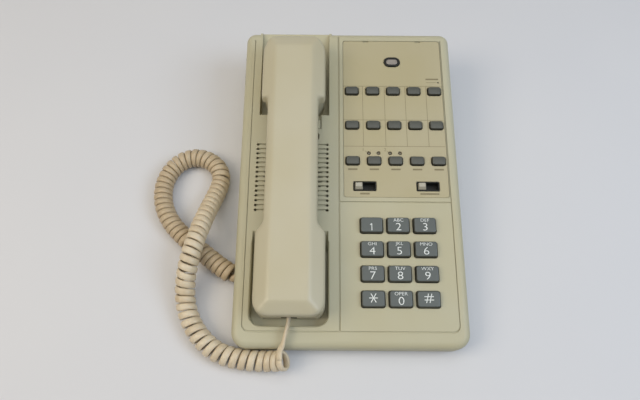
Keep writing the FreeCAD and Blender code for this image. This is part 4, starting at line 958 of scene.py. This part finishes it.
def strokes(name, lines, width):
    """Thin bars between pairs of points, as one mesh that lies flat at the origin."""
    piece = new_sheet(name)
    bpy.ops.mesh.delete(type="VERT")
    for (x0, v0), (x1, v1) in lines:
        middle = Vector((x0 + x1, v0 + v1, 0)) / 2 * mm
        length = math.hypot(x1 - x0, v1 - v0) * mm
        bpy.ops.mesh.primitive_plane_add(size=1, location=middle)
        bpy.ops.transform.resize(value=(length, width * mm, 1), center_override=middle)
        bpy.ops.transform.rotate(value=-math.atan2(v1 - v0, x1 - x0), orient_axis="Z",
                                 center_override=middle)
    bpy.ops.mesh.select_all(action="SELECT")
    extrude(0, 0, ink_height)
    face_outwards()
    bpy.ops.object.mode_set(mode="OBJECT")
    return piece


def joined(name, pieces, material, body, height):
    """Flat pieces made into one print, laid on the face at a height and given its ink."""
    bpy.ops.object.select_all(action="DESELECT")
    for piece in pieces:
        piece.select_set(True)
    bpy.context.view_layer.objects.active = pieces[0]
    if len(pieces) > 1:
        bpy.ops.object.join()
    piece = bpy.context.object
    piece.name = name
    piece.data.transform(face @ Matrix.Translation((0, 0, height * mm)))
    paint(piece, material)
    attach(piece, body)


# %% Print the dial keys
figure_size, figure_drop, figure_thinning, figure_stretch = 8.0, -1.5, 0.09, 1.16
letter_size, letter_rise, letter_thinning, letter_stretch = 3.4, 3.45, 0.03, 1.12
letters_of = {"2": "ABC", "3": "DEF", "4": "GHI", "5": "JKL", "6": "MNO",
              "7": "PRS", "8": "TUV", "9": "WXY", "0": "OPER"}
stroke_width, sign_rise, print_gap = 0.56, 0.4, 0.005
star_arms = ((0, 3.0), (60, 3.5), (120, 3.5))
hash_arm, hash_gap, hash_lean = 3.2, 1.15, 0.8
one_low, one_high, one_flag = -4.4, 0.9, (1.1, 1.2)

arms = [(arm * math.cos(math.radians(turn)), arm * math.sin(math.radians(turn)))
        for turn, arm in star_arms]
strokes_of = {
    "star": [((-dx, sign_rise - dv), (dx, sign_rise + dv)) for dx, dv in arms],
    "hash": [((-hash_arm, sign_rise + side), (hash_arm, sign_rise + side))
             for side in (-hash_gap, hash_gap)],
    "1": [((0, one_low), (0, one_high)), ((-one_flag[0], one_high - one_flag[1]), (0, one_high))],
}
strokes_of["hash"] += [((side - hash_lean, sign_rise - hash_arm),
                        (side + hash_lean, sign_rise + hash_arm)) for side in (-hash_gap, hash_gap)]
for name, (x, v) in dial_places.items():
    if name in strokes_of:
        lines = [[(x + dx, v + dv) for dx, dv in ends] for ends in strokes_of[name]]
        parts = [strokes("sign", lines, stroke_width)]
    else:
        parts = [lettering("figure", name, figure_size, x, v + figure_drop,
                           figure_thinning, figure_stretch)]
    if name in letters_of:
        parts.append(lettering("letters", letters_of[name], letter_size, x, v + letter_rise,
                               letter_thinning, letter_stretch))
    joined(f"legend_{name}", parts, white_ink, f"dial_key_{name}",
           dial_height + print_gap)
print("legends:", len(dial_places))

# %% [markdown]
# The inset plate carries fine brown print: lines that part the memory cells, a short bar under each
# function key and switch where a label goes, and beside the lamps the figures of the two lines,
# with leader lines. The print lies just above the plate.

# %% Print the inset plate
plate_height = -0.245
cell_rows, cell_columns = (189.1, 159.7, 137.6), (11.1, 28.1, 44.3, 60.7)
cell_left, cell_right, fine_line = -4.0, 73.0, 0.32
cell_lines = [((cell_left, v), (cell_right, v)) for v in cell_rows]
cell_lines += [((x, cell_rows[-1]), (x, cell_rows[0])) for x in cell_columns]
bar_width, function_bar, function_row = 1.3, 7.0, 118.9
bar_places = [(small_start[0] + small_pitch[0] * i, function_row, function_bar) for i in range(5)]
bar_places += [(11.4, 99.6, 7.0), (59.1, 99.6, 14.0), (66.0, 195.6, 10.0)]
bars = [((x - length / 2, v), (x + length / 2, v)) for x, v, length in bar_places]
leaders = [((61.5, 192.7), (68.9, 192.7)),
           ((12.0, 133.9), (13.7, 132.9)), ((28.6, 133.9), (29.7, 132.9))]
line_figures, line_figure_size = (("1", 10.7, 134.9), ("2", 27.3, 134.9)), 3.6
parts = [strokes("cell_lines", cell_lines, fine_line), strokes("label_bars", bars, bar_width),
         strokes("leader_lines", leaders, fine_line)]
parts += [lettering("line_figure", figure, line_figure_size, x, v) for figure, x, v in line_figures]
joined("plate_print", parts, brown_ink, "root", plate_height)
print("plate print:", len(bars), "bars,", len(cell_lines), "cell lines")

# %% [markdown]
# ## The handset's back shell
# The back of the handset is the largest thing in view. It is a faceted bar: a flat top, two long
# bevels, slopes at both ends, shoulders where the handle meets the mouth end and a square step at
# the ear end. Its facets are crisp, but each edge is rounded by 2 or 3 mm. It is cut from a flat
# outline as a carver would: the outline is drawn up into a block, planes slice the facets off, a
# voxel remesh gives it an even skin, and smoothing wears the edges down. Then the skin is opened
# along the parting line and given its wall.

# %% Carve the back shell
parting, handset_top, below = 14.0, 28.0, 3.0
mouth_half, handle_half, ear_half = 24.0, 18.5, 23.7
mouth_end, shoulder_low, shoulder_high, ear_step, ear_end = 7.8, 64.5, 70.5, 166.3, 222.2
step_run, mouth_corner, ear_corner, corner_steps = 0.1, 10.0, 18.0, 10
ear_fold = (ear_end - 4.5, 24.0)
end_slopes = (((16.6, handset_top), (7.4, 22.6)),
              ((ear_end - 14.0, handset_top), ear_fold), (ear_fold, (ear_end, 17.0)))
roof_half, roof_slope = 13.5, math.radians(32.0)


def cut_away(place, away):
    """Slices the mesh by a plane of the face frame and closes it: what lies towards away goes."""
    bpy.ops.mesh.select_all(action="SELECT")
    bpy.ops.mesh.bisect(plane_co=Vector(place) * mm, plane_no=Vector(away), use_fill=True,
                        clear_outer=True)


def draw_on(piece, v_from, v_to, half_from, half_to):
    """Carries the edge of the outline at v_from on to v_to, and widens or narrows it."""
    pick(piece, "edges", lambda e: all(abs(c.co.y / mm - v_from) < near for c in e.verts))
    extrude(0, v_to - v_from, 0)
    bpy.ops.transform.resize(value=(half_to / half_from, 1, 1), center_override=(0, v_to * mm, 0))


back = sized_sheet("handset_back_cover", (2 * mouth_half, shoulder_low - mouth_end),
                   (shoulder_low + mouth_end) / 2, parting - below)
draw_on(back, shoulder_low, shoulder_high, mouth_half, handle_half)
draw_on(back, shoulder_high, ear_step - step_run, handle_half, handle_half)
draw_on(back, ear_step - step_run, ear_step, handle_half, ear_half)
draw_on(back, ear_step, ear_end, ear_half, ear_half)
for v, half, radius in ((mouth_end, mouth_half, mouth_corner), (ear_end, ear_half, ear_corner)):
    pick(back, "verts", lambda c: abs(c.co.y / mm - v) < near
         and abs(abs(c.co.x / mm) - half) < near)
    bpy.ops.mesh.bevel(offset=radius * mm, segments=corner_steps, affect="VERTICES")
bpy.ops.mesh.select_all(action="SELECT")
extrude(0, 0, handset_top - parting + below)
for side in (-1, 1):
    cut_away((side * roof_half, 0, handset_top),
             (side * math.sin(roof_slope), 0, math.cos(roof_slope)))
for start, end in end_slopes:
    run = Vector((0, end[0] - start[0], end[1] - start[1])).normalized()
    cut_away((0, *start), (0, -run.z, run.y) if end[0] > start[0] else (0, run.z, -run.y))
face_outwards()
bpy.ops.object.mode_set(mode="OBJECT")
print("handset back:", len(back.data.polygons), "facets")

# %% Wear its edges, open it and give it a wall
def finish_with(piece, kind, **settings):
    """Adds a modifier to a piece and applies it at once."""
    modifier = piece.modifiers.new(kind.lower(), kind)
    for key, value in settings.items():
        setattr(modifier, key, value)
    bpy.context.view_layer.objects.active = piece
    bpy.ops.object.modifier_apply(modifier=modifier.name)


skin_size, wear, wear_passes, seam, handset_wall, worn_smooth_below = 1.0, 0.5, 22, 0.02, 2.2, 40
finish_with(back, "REMESH", mode="VOXEL", voxel_size=skin_size * mm)
finish_with(back, "SMOOTH", factor=wear, iterations=wear_passes)
bpy.ops.object.mode_set(mode="EDIT")
bpy.ops.mesh.select_all(action="SELECT")
bpy.ops.mesh.bisect(plane_co=(0, 0, (parting + seam) * mm), plane_no=(0, 0, -1), clear_outer=True)
bpy.ops.object.mode_set(mode="OBJECT")
finish_with(back, "SOLIDIFY", thickness=handset_wall * mm, offset=-1.0, use_rim=True,
            use_even_offset=False)
back.data.transform(face @ Matrix.Translation((handset_x * mm, 0, 0)))
bpy.ops.object.shade_smooth_by_angle(angle=math.radians(worn_smooth_below))
paint(back, handset_abs)
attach(back, "handset")
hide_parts("handset_back_shell")
print("handset back cover:", len(back.data.polygons), "faces")
